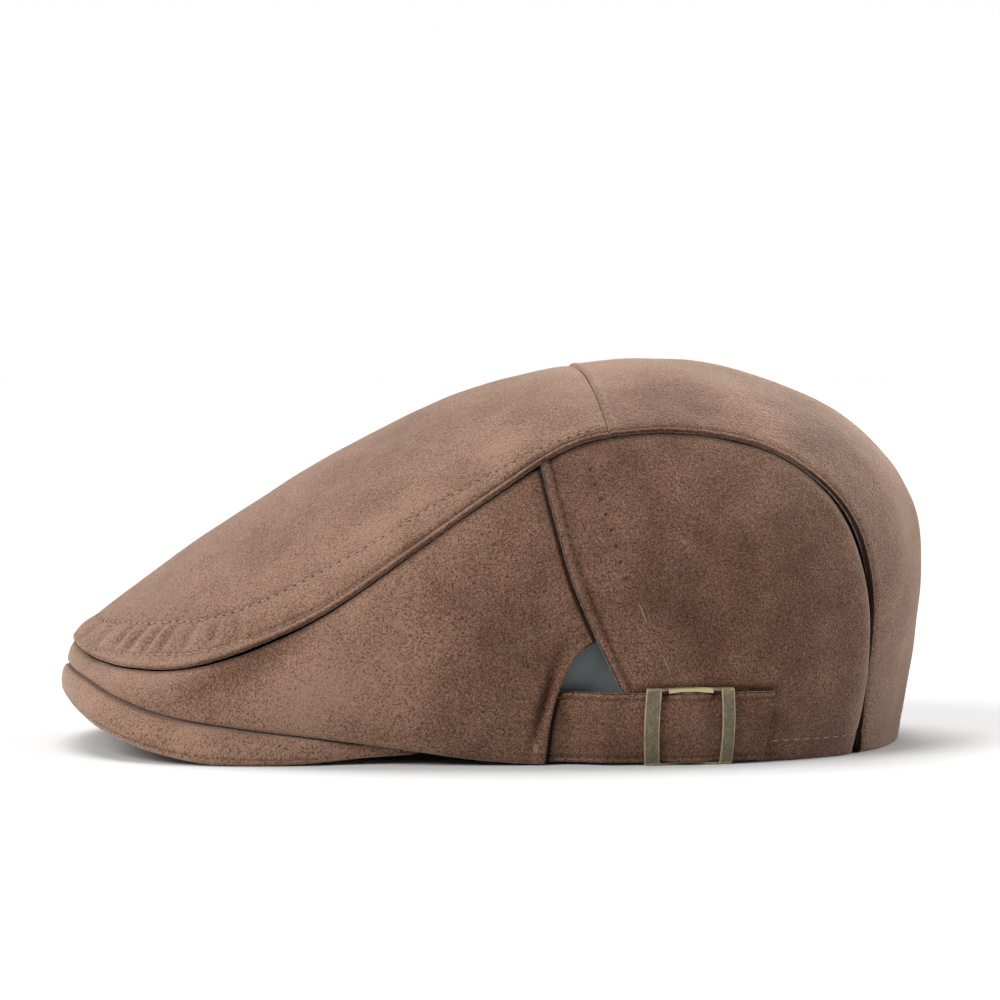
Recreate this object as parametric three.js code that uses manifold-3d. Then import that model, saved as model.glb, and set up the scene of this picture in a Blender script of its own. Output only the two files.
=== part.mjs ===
// Flat cap of suede cloth with a stiff peak and a strap and buckle on its left side.
// Millimetres, +Z up. The peak points along -X, the wearer's left is -Y, and the rim stands on Z = 0.
import * as THREE from "three";
import { mergeVertices } from "three/addons/utils/BufferGeometryUtils.js";
import Module from "manifold-3d";

// Overall sizes
const CAP_LENGTH = 276;
const CROWN_WIDTH = 184;
const CROWN_HEIGHT = 122.6;

// Cloth, board and clearances
const CLOTH = 2;
const LINING_CLOTH = 1;
const SEAM_GAP = 0.5;
const FIT_GAP = 0.35;

// Peak
const PEAK_DEPTH = 63;
const PEAK_BOARD = 4.4;
const PEAK_CORNER = 1.2;
const PEAK_ARCH = 8;

// Strap and buckle
const STRAP_WIDTH = 20.6;
const STRAP_THICKNESS = 1.5;
const STRAP_LENGTH = 76;
const STRAP_TUCK = 8;
const STRAP_FOOT = 1.8;
const BUCKLE_LENGTH = 26.6;
const BUCKLE_BAR = 4.4;
const BUCKLE_THICKNESS = 1.2;
const BUCKLE_EDGE = 1.4;
const CENTRE_BAR = 3;
const BUCKLE_AT = 50;
const STRAP_BELOW_NOTCH = 4.5;
const STRAP_ONTO_PANEL = 1;
const STRAP_OVER_BAR = 0.8;

// Gathers in the front end of the crown
const GATHER_DEPTH = 0.8;
const GATHER_PITCH = 8;
const GATHER_REACH = 16.5;

// One rib of the crown a row, from the peak's tip to the back of the rim. A rib runs from the rim
// up the wall to the long seam and over to the crest. x is a share of half the length, y and swell
// of half the width, z of the height. out and drop give the peak's edge from the rim, in shares of
// the board.
const RIB_COLUMNS = [
  "rimX", "rimY", "rimZ", "seamX", "seamY", "seamZ", "crestX", "crestZ", "swell", "out", "drop",
];
const RIB_ROWS = [
  [-0.987, 0.0, 0.21, -0.975, 0.0, 0.271, -0.975, 0.271, 0.004, 0.45, 1.95],
  [-0.974, -0.185, 0.2, -0.958, -0.185, 0.246, -0.955, 0.303, 0.008, 0.6, 1.98],
  [-0.942, -0.335, 0.174, -0.916, -0.325, 0.223, -0.916, 0.337, 0.012, 0.85, 2.05],
  [-0.884, -0.51, 0.14, -0.848, -0.5, 0.212, -0.835, 0.405, 0.018, 1.12, 2.1],
  [-0.783, -0.674, 0.104, -0.739, -0.663, 0.224, -0.71, 0.508, 0.03, 1.33, 2.2],
  [-0.652, -0.783, 0.081, -0.601, -0.777, 0.274, -0.565, 0.614, 0.045, 1.35, 2.26],
  [-0.493, -0.848, 0.063, -0.435, -0.837, 0.37, -0.406, 0.728, 0.062, 0.5, 1.68],
  [-0.32, -0.88, 0.044, -0.245, -0.859, 0.519, -0.217, 0.839, 0.085, -0.8, 0.72],
  [-0.087, -0.918, 0.012, -0.058, -0.83, 0.664, -0.043, 0.917, 0.118, -0.9, -0.6],
  [0.116, -0.93, 0.0, 0.116, -0.772, 0.781, 0.116, 0.966, 0.16, -0.9, -0.9],
  [0.275, -0.932, 0.0, 0.275, -0.741, 0.816, 0.282, 0.992, 0.19, -0.9, -0.9],
  [0.42, -0.913, 0.0, 0.435, -0.722, 0.809, 0.464, 0.995, 0.19, -0.9, -0.9],
  [0.551, -0.87, 0.0, 0.58, -0.7, 0.766, 0.638, 0.946, 0.175, -0.9, -0.9],
  [0.645, -0.803, 0.0, 0.696, -0.688, 0.678, 0.783, 0.872, 0.135, -0.9, -0.9],
  [0.71, -0.737, 0.0, 0.768, -0.682, 0.567, 0.895, 0.765, 0.105, -0.9, -0.9],
  [0.75, -0.685, 0.0, 0.804, -0.672, 0.428, 0.978, 0.627, 0.072, -0.9, -0.9],
  [0.768, -0.655, 0.0, 0.812, -0.66, 0.296, 0.996, 0.469, 0.04, -0.9, -0.9],
  [0.777, -0.638, 0.0, 0.799, -0.645, 0.164, 0.983, 0.271, 0.015, -0.9, -0.9],
  [0.779, -0.63, 0.0, 0.779, -0.63, 0.0, 0.942, 0.0, 0.0, -0.9, -0.9],
];
const BACK_RIB = RIB_ROWS.length - 1;
const PEAK_END_RIB = 7.35;
const CROSS_SEAM_RIB = 9.5;

// The crown's cross curve leaves the seam and meets the crest with these reaches
const TOP_RISE = 0.5;
const TOP_REACH = 0.8;
const CREST_REACH = 0.42;

// Lines on the left side as they look from the side: x a share of half the length, z of the height
const SIDE_SEAM_LINE = [
  [0.055, 0.74],
  [0.078, 0.6],
  [0.107, 0.45],
  [0.155, 0.307],
  [0.203, 0.183],
  [0.262, 0.0],
];
const NOTCH_LINE = [
  [0.155, 0.307],
  [0.123, 0.282],
  [0.101, 0.245],
  [0.0775, 0.184],
  [0.062, 0.12],
  [0.05, 0.0],
];

// Soft folds: a centre and a reach along and across the fold as shares, the fold's angle in degrees
// as seen from the left, and its depth in millimetres, outwards if positive
const FOLD_COLUMNS = ["x", "z", "angle", "length", "width", "depth"];
const SIDE_FOLDS = [
  [-0.6, 0.225, 36, 0.17, 0.06, -2.0],
  [-0.43, 0.27, 40, 0.2, 0.07, 1.0],
  [0.02, 0.35, -62, 0.2, 0.07, -1.2],
  [0.42, 0.45, 60, 0.16, 0.09, -1.5],
  [0.56, 0.24, 30, 0.14, 0.06, 1.1],
];
const BACK_FOLDS = [
  [0.9, 0.3, 68, 0.12, 0.03, 1.4],
  [0.93, 0.5, 80, 0.14, 0.035, -1.2],
  [0.5, 0.97, -14, 0.2, 0.03, -1.3],
];

// Lining
const LINING_TOP = 0.925;
const LINING_APEX = 0.196;
const LINING_PLAN = 2.2;
const LINING_FRONT_FULLNESS = 2;
const LINING_BACK_FULLNESS = 3;
const LINING_SWELL = 3.2;
const LINING_LIFT = 1.2;

const HALF_LENGTH = CAP_LENGTH / 2;
const HALF_WIDTH = CROWN_WIDTH / 2;

const COLOURS = {
  suede: { color: 0x8a6350, roughness: 0.95, metalness: 0 },
  lining: { color: 0x5a6468, roughness: 0.6, metalness: 0 },
  brass: { color: 0x8c8262, roughness: 0.4, metalness: 0.9 },
};

const vec = (x, y, z) => new THREE.Vector3(x, y, z);
const lerp = THREE.MathUtils.lerp;
const ramp = (value, low, high) => THREE.MathUtils.smoothstep(value, low, high);
const mirrored = (point) => vec(point.x, -point.y, point.z);

// Smooth interpolation of a table at a fractional row
function readTable(columns, rows, mirroredColumns, at) {
  const last = rows.length - 1;
  const row = Math.min(Math.max(Math.floor(at), 0), last - 1);
  const f = at - row;
  const values = {};
  columns.forEach((name, c) => {
    const sign = mirroredColumns.includes(name) ? -1 : 1;
    const get = (i) => {
      if (i < 0) return sign * rows[-i][c];
      if (i > last) return 2 * rows[last][c] - rows[2 * last - i][c];
      return rows[i][c];
    };
    const [a, b, d, e] = [get(row - 1), get(row), get(row + 1), get(row + 2)];
    const slopeB = (d - a) / 2;
    const slopeD = (e - b) / 2;
    values[name] =
      b * (1 + 2 * f) * (1 - f) ** 2 + slopeB * f * (1 - f) ** 2 +
      d * f ** 2 * (3 - 2 * f) + slopeD * f ** 2 * (f - 1);
  });
  return values;
}

// The rib at u: its rim, seam and crest points, and the level direction that faces out of the rim
function rib(u) {
  const row = readTable(RIB_COLUMNS, RIB_ROWS, ["rimY", "seamY"], u);
  const place = (x, y, z) => vec(x * HALF_LENGTH, y * HALF_WIDTH, z * CROWN_HEIGHT);
  return {
    rim: place(row.rimX, row.rimY, Math.max(row.rimZ, 0)),
    seam: place(row.seamX, row.seamY, row.seamZ),
    crest: place(row.crestX, 0, row.crestZ),
    swell: row.swell * HALF_WIDTH,
    out: row.out,
    drop: row.drop,
  };
}

function outOfRim(u) {
  const step = 0.02;
  const before = rib(Math.max(u - step, 0)).rim;
  const after = rib(Math.min(u + step, BACK_RIB)).rim;
  if (u < step) before.y = -after.y;
  return vec(after.y - before.y, before.x - after.x, 0).normalize();
}

function bezier(a, b, c, d, t) {
  const s = 1 - t;
  return vec(0, 0, 0)
    .addScaledVector(a, s ** 3)
    .addScaledVector(b, 3 * s * s * t)
    .addScaledVector(c, 3 * s * t * t)
    .addScaledVector(d, t ** 3);
}

// How far the folds of a table push the cloth outwards at a point
function foldDepth(rows, point) {
  let depth = 0;
  for (const row of rows) {
    const fold = Object.fromEntries(FOLD_COLUMNS.map((name, i) => [name, row[i]]));
    const angle = THREE.MathUtils.degToRad(fold.angle);
    const dx = point.x - fold.x * HALF_LENGTH;
    const dz = point.z - fold.z * CROWN_HEIGHT;
    const along = (dx * Math.cos(angle) + dz * Math.sin(angle)) / (fold.length * HALF_LENGTH);
    const across = (dz * Math.cos(angle) - dx * Math.sin(angle)) / (fold.width * HALF_LENGTH);
    depth += fold.depth * Math.exp(-along * along - across * across);
  }
  return depth;
}

// The wall between the rim, t = 0, and the long seam, t = 1. Negative u is the right side.
function wall(u, t) {
  if (u < 0) return mirrored(wall(-u, t));
  const { rim, seam, swell } = rib(u);
  const out = outOfRim(u);
  const low = rim.clone().lerp(seam, 1 / 3).addScaledVector(out, swell);
  const high = rim.clone().lerp(seam, 2 / 3).addScaledVector(out, swell);
  const point = bezier(rim, low, high, seam, t);
  const free = Math.sin(Math.PI * Math.min(Math.max(t, 0), 1));
  return point.addScaledVector(out, free * foldDepth(SIDE_FOLDS, point));
}

// The crown's top from the left seam, v = -1, over the crest, v = 0, to the right seam, v = 1
function top(u, v) {
  if (v > 0) return mirrored(top(u, -v));
  const { seam, crest } = rib(u);
  const rise = seam.clone().lerp(crest, TOP_RISE).setY(seam.y * TOP_REACH);
  const level = crest.clone().setY(seam.y * CREST_REACH);
  const point = bezier(seam, rise, level, crest, 1 + v);
  const free = Math.sin((Math.PI / 2) * (1 + v));
  const outward = vec(crest.x - seam.x, 0, crest.z - seam.z + 1).normalize();
  return point.addScaledVector(outward, free * foldDepth(BACK_FOLDS, point));
}

function facing(surface, a, b, step = 0.01) {
  const along = surface(a + step, b).sub(surface(a - step, b));
  const across = surface(a, b + step).sub(surface(a, b - step));
  return along.cross(across).normalize();
}

// The shared edge direction at the long seam, so the panels that meet there leave an even gap
function facingAtSeam(u) {
  const safe = Math.min(Math.max(Math.abs(u), 0.3), BACK_RIB - 0.1);
  const n = facing(wall, safe, 1 - 0.02).add(facing(top, safe, -1 + 0.02)).normalize();
  if (Math.abs(u) < safe) n.y *= Math.abs(u) / safe;
  if (u < 0) n.y *= -1;
  return n.normalize();
}

function wallFacing(u, t) {
  const at = Math.abs(u);
  const n = facing(wall, Math.min(at, BACK_RIB - 0.1), Math.min(Math.max(t, 0.02), 0.98));
  if (u < 0) n.y *= -1;
  const atEnd = ramp(at, BACK_RIB - 1.6, BACK_RIB - 0.6);
  n.lerp(facingAtSeam(u), Math.max(ramp(t, 0.85, 1), atEnd)).normalize();
  const level = n.clone().setZ(0).normalize();
  return n.lerp(level, 1 - ramp(t, 0, 0.12)).normalize();
}

function topFacing(u, v) {
  const at = Math.min(u, BACK_RIB - 0.02);
  const n = facing(top, at, Math.min(Math.max(v, -0.98), 0.98));
  const side = facingAtSeam(u);
  if (v > 0) side.y *= -1;
  n.lerp(side, ramp(Math.abs(v), 0.85, 1));
  const level = n.clone().setZ(0).normalize();
  return n.lerp(level, ramp(u, BACK_RIB - 0.35, BACK_RIB)).normalize();
}

// A closed solid between an outer and an inner grid of points. A grid that comes round to its
// first row is closed there, and rows that shrink to a point make no faces.
function sheet(outer, inner, round = false) {
  const rows = outer.length - 1;
  const columns = outer[0].length - 1;
  const corners = [];
  const triangle = (a, b, c) => {
    const least = 1e-4;
    if (a.distanceTo(b) < least || b.distanceTo(c) < least || c.distanceTo(a) < least) return;
    for (const p of [a, b, c]) corners.push(p.x, p.y, p.z);
  };
  const quad = (a, b, c, d) => {
    triangle(a, b, c);
    triangle(a, c, d);
  };
  for (let i = 0; i < rows; i++) {
    for (let j = 0; j < columns; j++) {
      quad(outer[i][j], outer[i + 1][j], outer[i + 1][j + 1], outer[i][j + 1]);
      quad(inner[i][j], inner[i][j + 1], inner[i + 1][j + 1], inner[i + 1][j]);
    }
    quad(outer[i][0], inner[i][0], inner[i + 1][0], outer[i + 1][0]);
    quad(outer[i + 1][columns], inner[i + 1][columns], inner[i][columns], outer[i][columns]);
  }
  for (let j = 0; j < columns && !round; j++) {
    quad(outer[0][j + 1], inner[0][j + 1], inner[0][j], outer[0][j]);
    quad(outer[rows][j], inner[rows][j], inner[rows][j + 1], outer[rows][j + 1]);
  }
  const geometry = new THREE.BufferGeometry();
  geometry.setAttribute("position", new THREE.Float32BufferAttribute(corners, 3));
  geometry.computeVertexNormals();
  return geometry;
}

const steps = (from, to, count) => Array.from({ length: count + 1 }, (_, i) => lerp(from, to, i / count));
const grid = (rows, columns, at) => rows.map((a) => columns.map((b) => at(a, b)));

// Half of the gap at the long seam, wider where the seam comes down to the rim at the back
const seamGap = (u) => (SEAM_GAP / 2) * (1 + ramp(Math.abs(u), BACK_RIB - 2, BACK_RIB - 0.8));

// The share of a rib that a length in millimetres takes
function shareOfRib(surface, u, from, to, length) {
  const marks = steps(from, to, 8).map((t) => surface(u, t));
  let total = 0;
  for (let i = 1; i < marks.length; i++) total += marks[i].distanceTo(marks[i - 1]);
  return (length / total) * Math.abs(to - from);
}

// Where the wall's outer face is seen at x and z from the side: its u and t
function findOnWall(x, z) {
  let u = 5;
  let t = 0.5;
  for (let i = 0; i < 30; i++) {
    const here = wall(u, t);
    const step = 0.01;
    const du = wall(u + step, t).sub(here).divideScalar(step);
    const dt = wall(u, t + step).sub(here).divideScalar(step);
    const determinant = du.x * dt.z - dt.x * du.z;
    const missX = x - here.x;
    const missZ = z - here.z;
    const moveU = (missX * dt.z - dt.x * missZ) / determinant;
    const moveT = (du.x * missZ - missX * du.z) / determinant;
    u = THREE.MathUtils.clamp(u + THREE.MathUtils.clamp(moveU, -1.5, 1.5), 0.5, BACK_RIB - 0.5);
    t = THREE.MathUtils.clamp(t + THREE.MathUtils.clamp(moveT, -0.3, 0.3), -0.1, 1.1);
  }
  return { u, t };
}

// A line drawn on the side view, as the wall's u at a given t
function lineOnWall(line) {
  const marks = line.map(([x, z]) => findOnWall(x * HALF_LENGTH, z * CROWN_HEIGHT));
  const curve = new THREE.SplineCurve(marks.map(({ u, t }) => new THREE.Vector2(u, t)));
  const points = curve.getPoints(60);
  return (t) => {
    const i = points.findIndex((p, k) => k > 0 && (points[k - 1].y - t) * (p.y - t) <= 0);
    if (i < 0) return t > 0.5 ? points[0].x : points[points.length - 1].x;
    const [a, b] = [points[i - 1], points[i]];
    return lerp(a.x, b.x, (t - a.y) / (b.y - a.y || 1));
  };
}

const sideSeam = lineOnWall(SIDE_SEAM_LINE);
const notchEdge = lineOnWall(NOTCH_LINE);
const notchTop = findOnWall(NOTCH_LINE[0][0] * HALF_LENGTH, NOTCH_LINE[0][1] * CROWN_HEIGHT).t;

function uGap(u, t) {
  const step = 0.05;
  const perRib = wall(u + step, t).distanceTo(wall(u - step, t)) / (2 * step);
  return SEAM_GAP / 2 / perRib;
}

function wallSheet(shares, columns, uAt) {
  const face = (share, t) => {
    const u = uAt(share, t);
    const toSeam = shareOfRib(wall, Math.abs(u), 0, 1, seamGap(u));
    return { u, at: t * (1 - toSeam) };
  };
  const outer = grid(shares, columns, (share, t) => {
    const { u, at } = face(share, t);
    return wall(u, at);
  });
  const inner = grid(shares, columns, (share, t) => {
    const { u, at } = face(share, t);
    return wall(u, at).addScaledVector(wallFacing(u, at), -CLOTH);
  });
  return sheet(outer, inner);
}

// The panels on both sides of the long seam have corners at the same ribs along it
const SIDE_SEAM_RIB = sideSeam(1);
const GATHERED_RIB = 4.5;
const FRONT_RIBS = [...steps(0, GATHERED_RIB, 22), ...steps(GATHERED_RIB, SIDE_SEAM_RIB, 8).slice(1)];
const REAR_RIBS = steps(CROSS_SEAM_RIB, BACK_RIB - 0.4, 20);

// The band runs from the right side seam round the front to the left side seam, where its lower
// corner is cut back to a notch
function frontBand() {
  const half = FRONT_RIBS.map((u) => u / SIDE_SEAM_RIB);
  const shares = [...half.slice(1).reverse().map((share) => -share), ...half];
  const columns = [...steps(0, notchTop, 4), ...steps(notchTop, 1, 5).slice(1)];
  return wallSheet(shares, columns, (share, t) => {
    const edge = t < notchTop && share > 0 ? notchEdge(t) : sideSeam(t);
    const gap = share * share > 0.99 ? uGap(edge, t) : 0;
    return share * edge - Math.sign(share) * gap;
  });
}

function rearSide(side) {
  const end = REAR_RIBS[REAR_RIBS.length - 1];
  const ribs = [SIDE_SEAM_RIB, (SIDE_SEAM_RIB + CROSS_SEAM_RIB) / 2, ...REAR_RIBS];
  const shares = ribs.map((u) => (u - SIDE_SEAM_RIB) / (end - SIDE_SEAM_RIB));
  const columns = steps(0, 1, 8);
  const geometry = wallSheet(shares, columns, (share, t) => {
    const gap = share === 0 ? uGap(sideSeam(t), t) : 0;
    return lerp(sideSeam(t), end, share) + gap;
  });
  return side > 0 ? flipped(geometry) : geometry;
}

// The same solid on the cap's other side
function flipped(geometry) {
  const made = geometry.clone();
  const p = made.getAttribute("position");
  for (let i = 0; i < p.count; i += 3) {
    const face = [0, 1, 2].map((k) => vec(p.getX(i + k), -p.getY(i + k), p.getZ(i + k)));
    [face[0], face[2], face[1]].forEach((q, k) => p.setXYZ(i + k, q.x, q.y, q.z));
  }
  made.computeVertexNormals();
  return made;
}

// Puckers between the two rows of stitches along the front end of the crown
function gathers(u, v) {
  const inFromSeam = rib(u).seam.distanceTo(top(u, v));
  const across = Math.sin(Math.PI * Math.min(inFromSeam / GATHER_REACH, 1)) ** 2;
  const along = rib(u).seam;
  const around = Math.atan2(-along.y, -along.x - 0.6 * HALF_LENGTH) * 0.45 * HALF_LENGTH;
  const fade = 1 - ramp(u, 3.6, 5.2);
  return GATHER_DEPTH * fade * across * Math.cos((2 * Math.PI * around) / GATHER_PITCH);
}

function topSheet(ribs, columns, withGathers) {
  const spot = (u, v) => {
    const toSeam = shareOfRib(top, u, -1, 0, seamGap(u));
    return { u, v: v * (1 - toSeam) };
  };
  const outer = grid(ribs, columns, (a, b) => {
    const { u, v } = spot(a, b);
    const point = top(u, v);
    return withGathers ? point.addScaledVector(topFacing(u, v), gathers(u, v)) : point;
  });
  const inner = grid(ribs, columns, (a, b) => {
    const { u, v } = spot(a, b);
    const depth = withGathers ? gathers(u, v) : 0;
    return top(u, v).addScaledVector(topFacing(u, v), depth - CLOTH);
  });
  return sheet(outer, inner);
}

function crossGap() {
  const step = 0.05;
  const perRib =
    top(CROSS_SEAM_RIB + step, 0).distanceTo(top(CROSS_SEAM_RIB - step, 0)) / (2 * step);
  return SEAM_GAP / 2 / perRib;
}

function crownFront() {
  const middle = (SIDE_SEAM_RIB + CROSS_SEAM_RIB) / 2;
  const ribs = [...FRONT_RIBS.slice(1), middle, CROSS_SEAM_RIB - crossGap()];
  const half = [0, 0.2, 0.4, 0.57, 0.7, 0.79, 0.86, 0.93, 1];
  const columns = [...half.slice(1).reverse().map((v) => -v), ...half];
  return topSheet(ribs, columns, true);
}

function crownBack() {
  const ribs = [CROSS_SEAM_RIB + crossGap(), ...REAR_RIBS.slice(1), BACK_RIB];
  return topSheet(ribs, steps(-1, 1, 14), false);
}

// The head opening: an oval whose back and sides stand inside the rim, and whose front is the
// peak's inner edge
function openingOval() {
  const backRim = rib(BACK_RIB).crest.x;
  const back = backRim - CLOTH - 2 * FIT_GAP;
  const front = -HALF_LENGTH + PEAK_DEPTH;
  const sideRim = Math.max(...RIB_ROWS.map((row) => -row[1])) * HALF_WIDTH;
  const side = sideRim - CLOTH - STRAP_THICKNESS - 3 * FIT_GAP;
  return { centre: (front + back) / 2, half: (back - front) / 2, side };
}

const power = (value, p) => Math.sign(value) * Math.abs(value) ** p;

// A point of the oval. The angle is 0 at the front and a quarter turn on the wearer's left.
function ovalPoint(angle, grow) {
  const { centre, half, side } = openingOval();
  const p = 2 / LINING_PLAN;
  return vec(
    centre - (half + grow) * power(Math.cos(angle), p),
    -(side + grow) * power(Math.sin(angle), p),
    0,
  );
}

// Height of the peak's inner edge, highest at the front and lowest at the peak's ends
const PEAK_INNER_FRONT = 0.225;
const PEAK_INNER_END = 0.075;
const PEAK_END_ANGLE = THREE.MathUtils.degToRad(72);
function peakInnerHeight(angle) {
  const share = Math.min(Math.abs(angle) / PEAK_END_ANGLE, 1);
  return lerp(PEAK_INNER_FRONT, PEAK_INNER_END, share ** 1.6) * CROWN_HEIGHT;
}

// The rounded outer face of the peak, from the band's edge down to the underside: shares of the
// reach out and of the drop
const PEAK_FACE_COLUMNS = ["out", "down"];
const PEAK_FACE = [
  [0.0, 0.0],
  [0.6, 0.16],
  [0.93, 0.42],
  [1.0, 0.66],
];

// One cross-section of the peak at rib u: pairs of upper and lower points from the outer edge in
function peakSection(u) {
  const at = Math.abs(u);
  const { rim, out, drop } = rib(at);
  const level = outOfRim(at);
  const reach = out * PEAK_BOARD;
  const foot = Math.max(rim.z - drop * PEAK_BOARD, 0);
  const below = rim.z - 1.5 * FIT_GAP;
  const within = ramp(-reach, CLOTH + FIT_GAP, CLOTH + 3 * FIT_GAP);
  const seatZ = lerp(below, Math.max(foot + PEAK_BOARD, below), within);
  const root = Math.min(0, reach - 0.5 * PEAK_CORNER);
  const beside = (along, z) => rim.clone().addScaledVector(level, along).setZ(z);
  const [atSeat, high, middle, edge] = PEAK_FACE.map((row) => {
    const share = Object.fromEntries(PEAK_FACE_COLUMNS.map((name, i) => [name, row[i]]));
    return beside(lerp(root, reach, share.out), lerp(seatZ, foot, share.down));
  });
  const board = Math.min(PEAK_BOARD, seatZ - foot);
  const under = (inward, lift) => beside(reach - inward, Math.min(foot + lift, seatZ - board));
  const pairs = [
    [edge, beside(reach - PEAK_CORNER * 0.3, lerp(seatZ, foot, 0.9))],
    [middle, under(PEAK_CORNER, 0)],
    [high, under(PEAK_CORNER * 2.4, PEAK_BOARD * 0.1)],
    [atSeat, beside(Math.min(root - PEAK_CORNER, reach - 3 * PEAK_CORNER), seatZ - board)],
  ];
  const angle = (at / PEAK_END_RIB) * PEAK_END_ANGLE;
  const inner = ovalPoint(angle, FIT_GAP).setZ(peakInnerHeight(angle));
  const clear = beside(Math.min(root, reach - 1.3 * PEAK_CORNER) - (CLOTH + 2 * FIT_GAP), seatZ);
  const arch = PEAK_ARCH * (1 - ramp(at, PEAK_END_RIB - 2, PEAK_END_RIB));
  for (const share of [0, 0.25, 0.5, 0.75, 1]) {
    const upper = clear.clone().lerp(inner, share);
    upper.z += arch * Math.sin(Math.PI * share) * 0.5;
    const thickness = lerp(board, PEAK_BOARD, share);
    pairs.push([upper, upper.clone().setZ(Math.max(upper.z - thickness, 0))]);
  }
  return u < 0 ? pairs.map((pair) => pair.map(mirrored)) : pairs;
}

function peak() {
  const sections = steps(-PEAK_END_RIB, PEAK_END_RIB, 46).map(peakSection);
  const upper = sections.map((pairs) => pairs.map(([high]) => high));
  const lower = sections.map((pairs) => pairs.map(([, low]) => low));
  return sheet(upper, lower);
}

// The lining is a loose dome over the head opening
function liningPoint(angle, share, inset) {
  const { centre } = openingOval();
  const base = ovalPoint(angle, -inset);
  const apex = vec(LINING_APEX * HALF_LENGTH, 0, LINING_TOP * CROWN_HEIGHT - inset);
  const frontward = (1 + Math.cos(angle)) / 2;
  const nearPeak = 1 - ramp(Math.abs(angle), PEAK_END_ANGLE * 0.8, PEAK_END_ANGLE * 1.25);
  const foot = Math.max(LINING_LIFT, nearPeak * (peakInnerHeight(angle) + FIT_GAP));
  const fullness = lerp(LINING_BACK_FULLNESS, LINING_FRONT_FULLNESS, frontward);
  const turn = (share * Math.PI) / 2;
  const reach = power(Math.cos(turn), 2 / fullness);
  const rise = power(Math.sin(turn), 2 / fullness);
  const out = vec(base.x - centre, base.y, 0).normalize();
  const swell = LINING_SWELL * Math.sin(Math.PI * Math.min(share * 1.6, 1)) * (1 - frontward) ** 0.5;
  return vec(lerp(apex.x, base.x, reach), lerp(0, base.y, reach), lerp(foot, apex.z, rise))
    .addScaledVector(out, swell);
}

function lining() {
  const angles = steps(-Math.PI, Math.PI, 40);
  angles[angles.length - 1] = -Math.PI;
  const shares = [0, 0.1, 0.22, 0.36, 0.5, 0.66, 0.82, 1];
  const outer = grid(angles, shares, (angle, share) => liningPoint(angle, share, 0));
  const inner = grid(angles, shares, (angle, share) => liningPoint(angle, share, LINING_CLOTH));
  return sheet(outer, inner, true);
}

// A point beside the left wall: x along it, z up it and a distance out from its outer face
function besideWall(x, z, out) {
  const { u, t } = findOnWall(x, z);
  return wall(u, t).addScaledVector(wallFacing(u, t), out);
}

const notchX = NOTCH_LINE[NOTCH_LINE.length - 1][0] * HALF_LENGTH;
const panelEdgeX = SIDE_SEAM_LINE[4][0] * HALF_LENGTH;
const strapStart = notchX - STRAP_TUCK;
const buckleX = strapStart + BUCKLE_AT;
const strapLow = STRAP_FOOT;
const strapHigh = STRAP_FOOT + STRAP_WIDTH;
const ON_PANEL = FIT_GAP;
const OVER_BAR = 2 * FIT_GAP + BUCKLE_THICKNESS;

// How far the strap's back lies out of the wall's face: tucked behind the band at its start, then
// on the rear panel, and over the buckle's centre bar
function strapOut(x) {
  const tucked = -(CLOTH + 2 * FIT_GAP + STRAP_THICKNESS);
  const rise = ramp(x, notchX + STRAP_BELOW_NOTCH, panelEdgeX - STRAP_ONTO_PANEL);
  const near = Math.abs(x - buckleX);
  const over = 1 - ramp(near, CENTRE_BAR / 2 + STRAP_OVER_BAR, BUCKLE_LENGTH / 2 - BUCKLE_BAR);
  return lerp(tucked, ON_PANEL, rise) + over * (OVER_BAR - ON_PANEL);
}

function strap() {
  const places = steps(strapStart, strapStart + STRAP_LENGTH, 38);
  const heights = steps(strapLow, strapHigh, 3);
  const outer = grid(places, heights, (x, z) => besideWall(x, z, strapOut(x) + STRAP_THICKNESS));
  const inner = grid(places, heights, (x, z) => besideWall(x, z, strapOut(x)));
  return sheet(outer, inner);
}

// A bar of the buckle, bent to lie along the wall, between two places, two heights and two depths
function buckleBar([x0, x1, along], [z0, z1, upward], depthAt) {
  const places = steps(x0, x1, along);
  const heights = steps(z0, z1, upward);
  const outer = grid(places, heights, (x, z) => besideWall(x, z, depthAt(x) + BUCKLE_THICKNESS));
  const inner = grid(places, heights, (x, z) => besideWall(x, z, depthAt(x)));
  return sheet(outer, inner);
}

function buckle(wasm) {
  const half = BUCKLE_LENGTH / 2;
  const low = strapLow - FIT_GAP - BUCKLE_EDGE;
  const high = strapHigh + FIT_GAP + BUCKLE_EDGE;
  const front = ON_PANEL + STRAP_THICKNESS + FIT_GAP;
  const frontAt = () => front;
  const bent = (x) =>
    lerp(ON_PANEL, front, ramp(Math.abs(x - buckleX), CENTRE_BAR / 2, half - BUCKLE_BAR));
  const inset = 0.05;
  const across = [low, high, 4];
  const bars = [
    buckleBar([buckleX - half, buckleX - half + BUCKLE_BAR, 2], across, frontAt),
    buckleBar([buckleX + half - BUCKLE_BAR, buckleX + half, 2], across, frontAt),
    buckleBar([buckleX - CENTRE_BAR / 2, buckleX + CENTRE_BAR / 2, 1], across, () => ON_PANEL),
    buckleBar([buckleX - half + inset, buckleX + half - inset, 16], [low + inset, low + BUCKLE_EDGE, 1], bent),
    buckleBar([buckleX - half + inset, buckleX + half - inset, 16], [high - BUCKLE_EDGE, high - inset, 1], bent),
  ];
  const joined = bars.map((bar) => solidOf(wasm, bar)).reduce((all, bar) => all.add(bar));
  return geometryOf(joined);
}

function solidOf(wasm, geometry) {
  const plain = new THREE.BufferGeometry();
  plain.setAttribute("position", geometry.getAttribute("position"));
  const merged = mergeVertices(plain, 1e-4);
  return new wasm.Manifold(
    new wasm.Mesh({
      numProp: 3,
      vertProperties: merged.getAttribute("position").array,
      triVerts: new Uint32Array(merged.index.array),
    }),
  );
}

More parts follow.
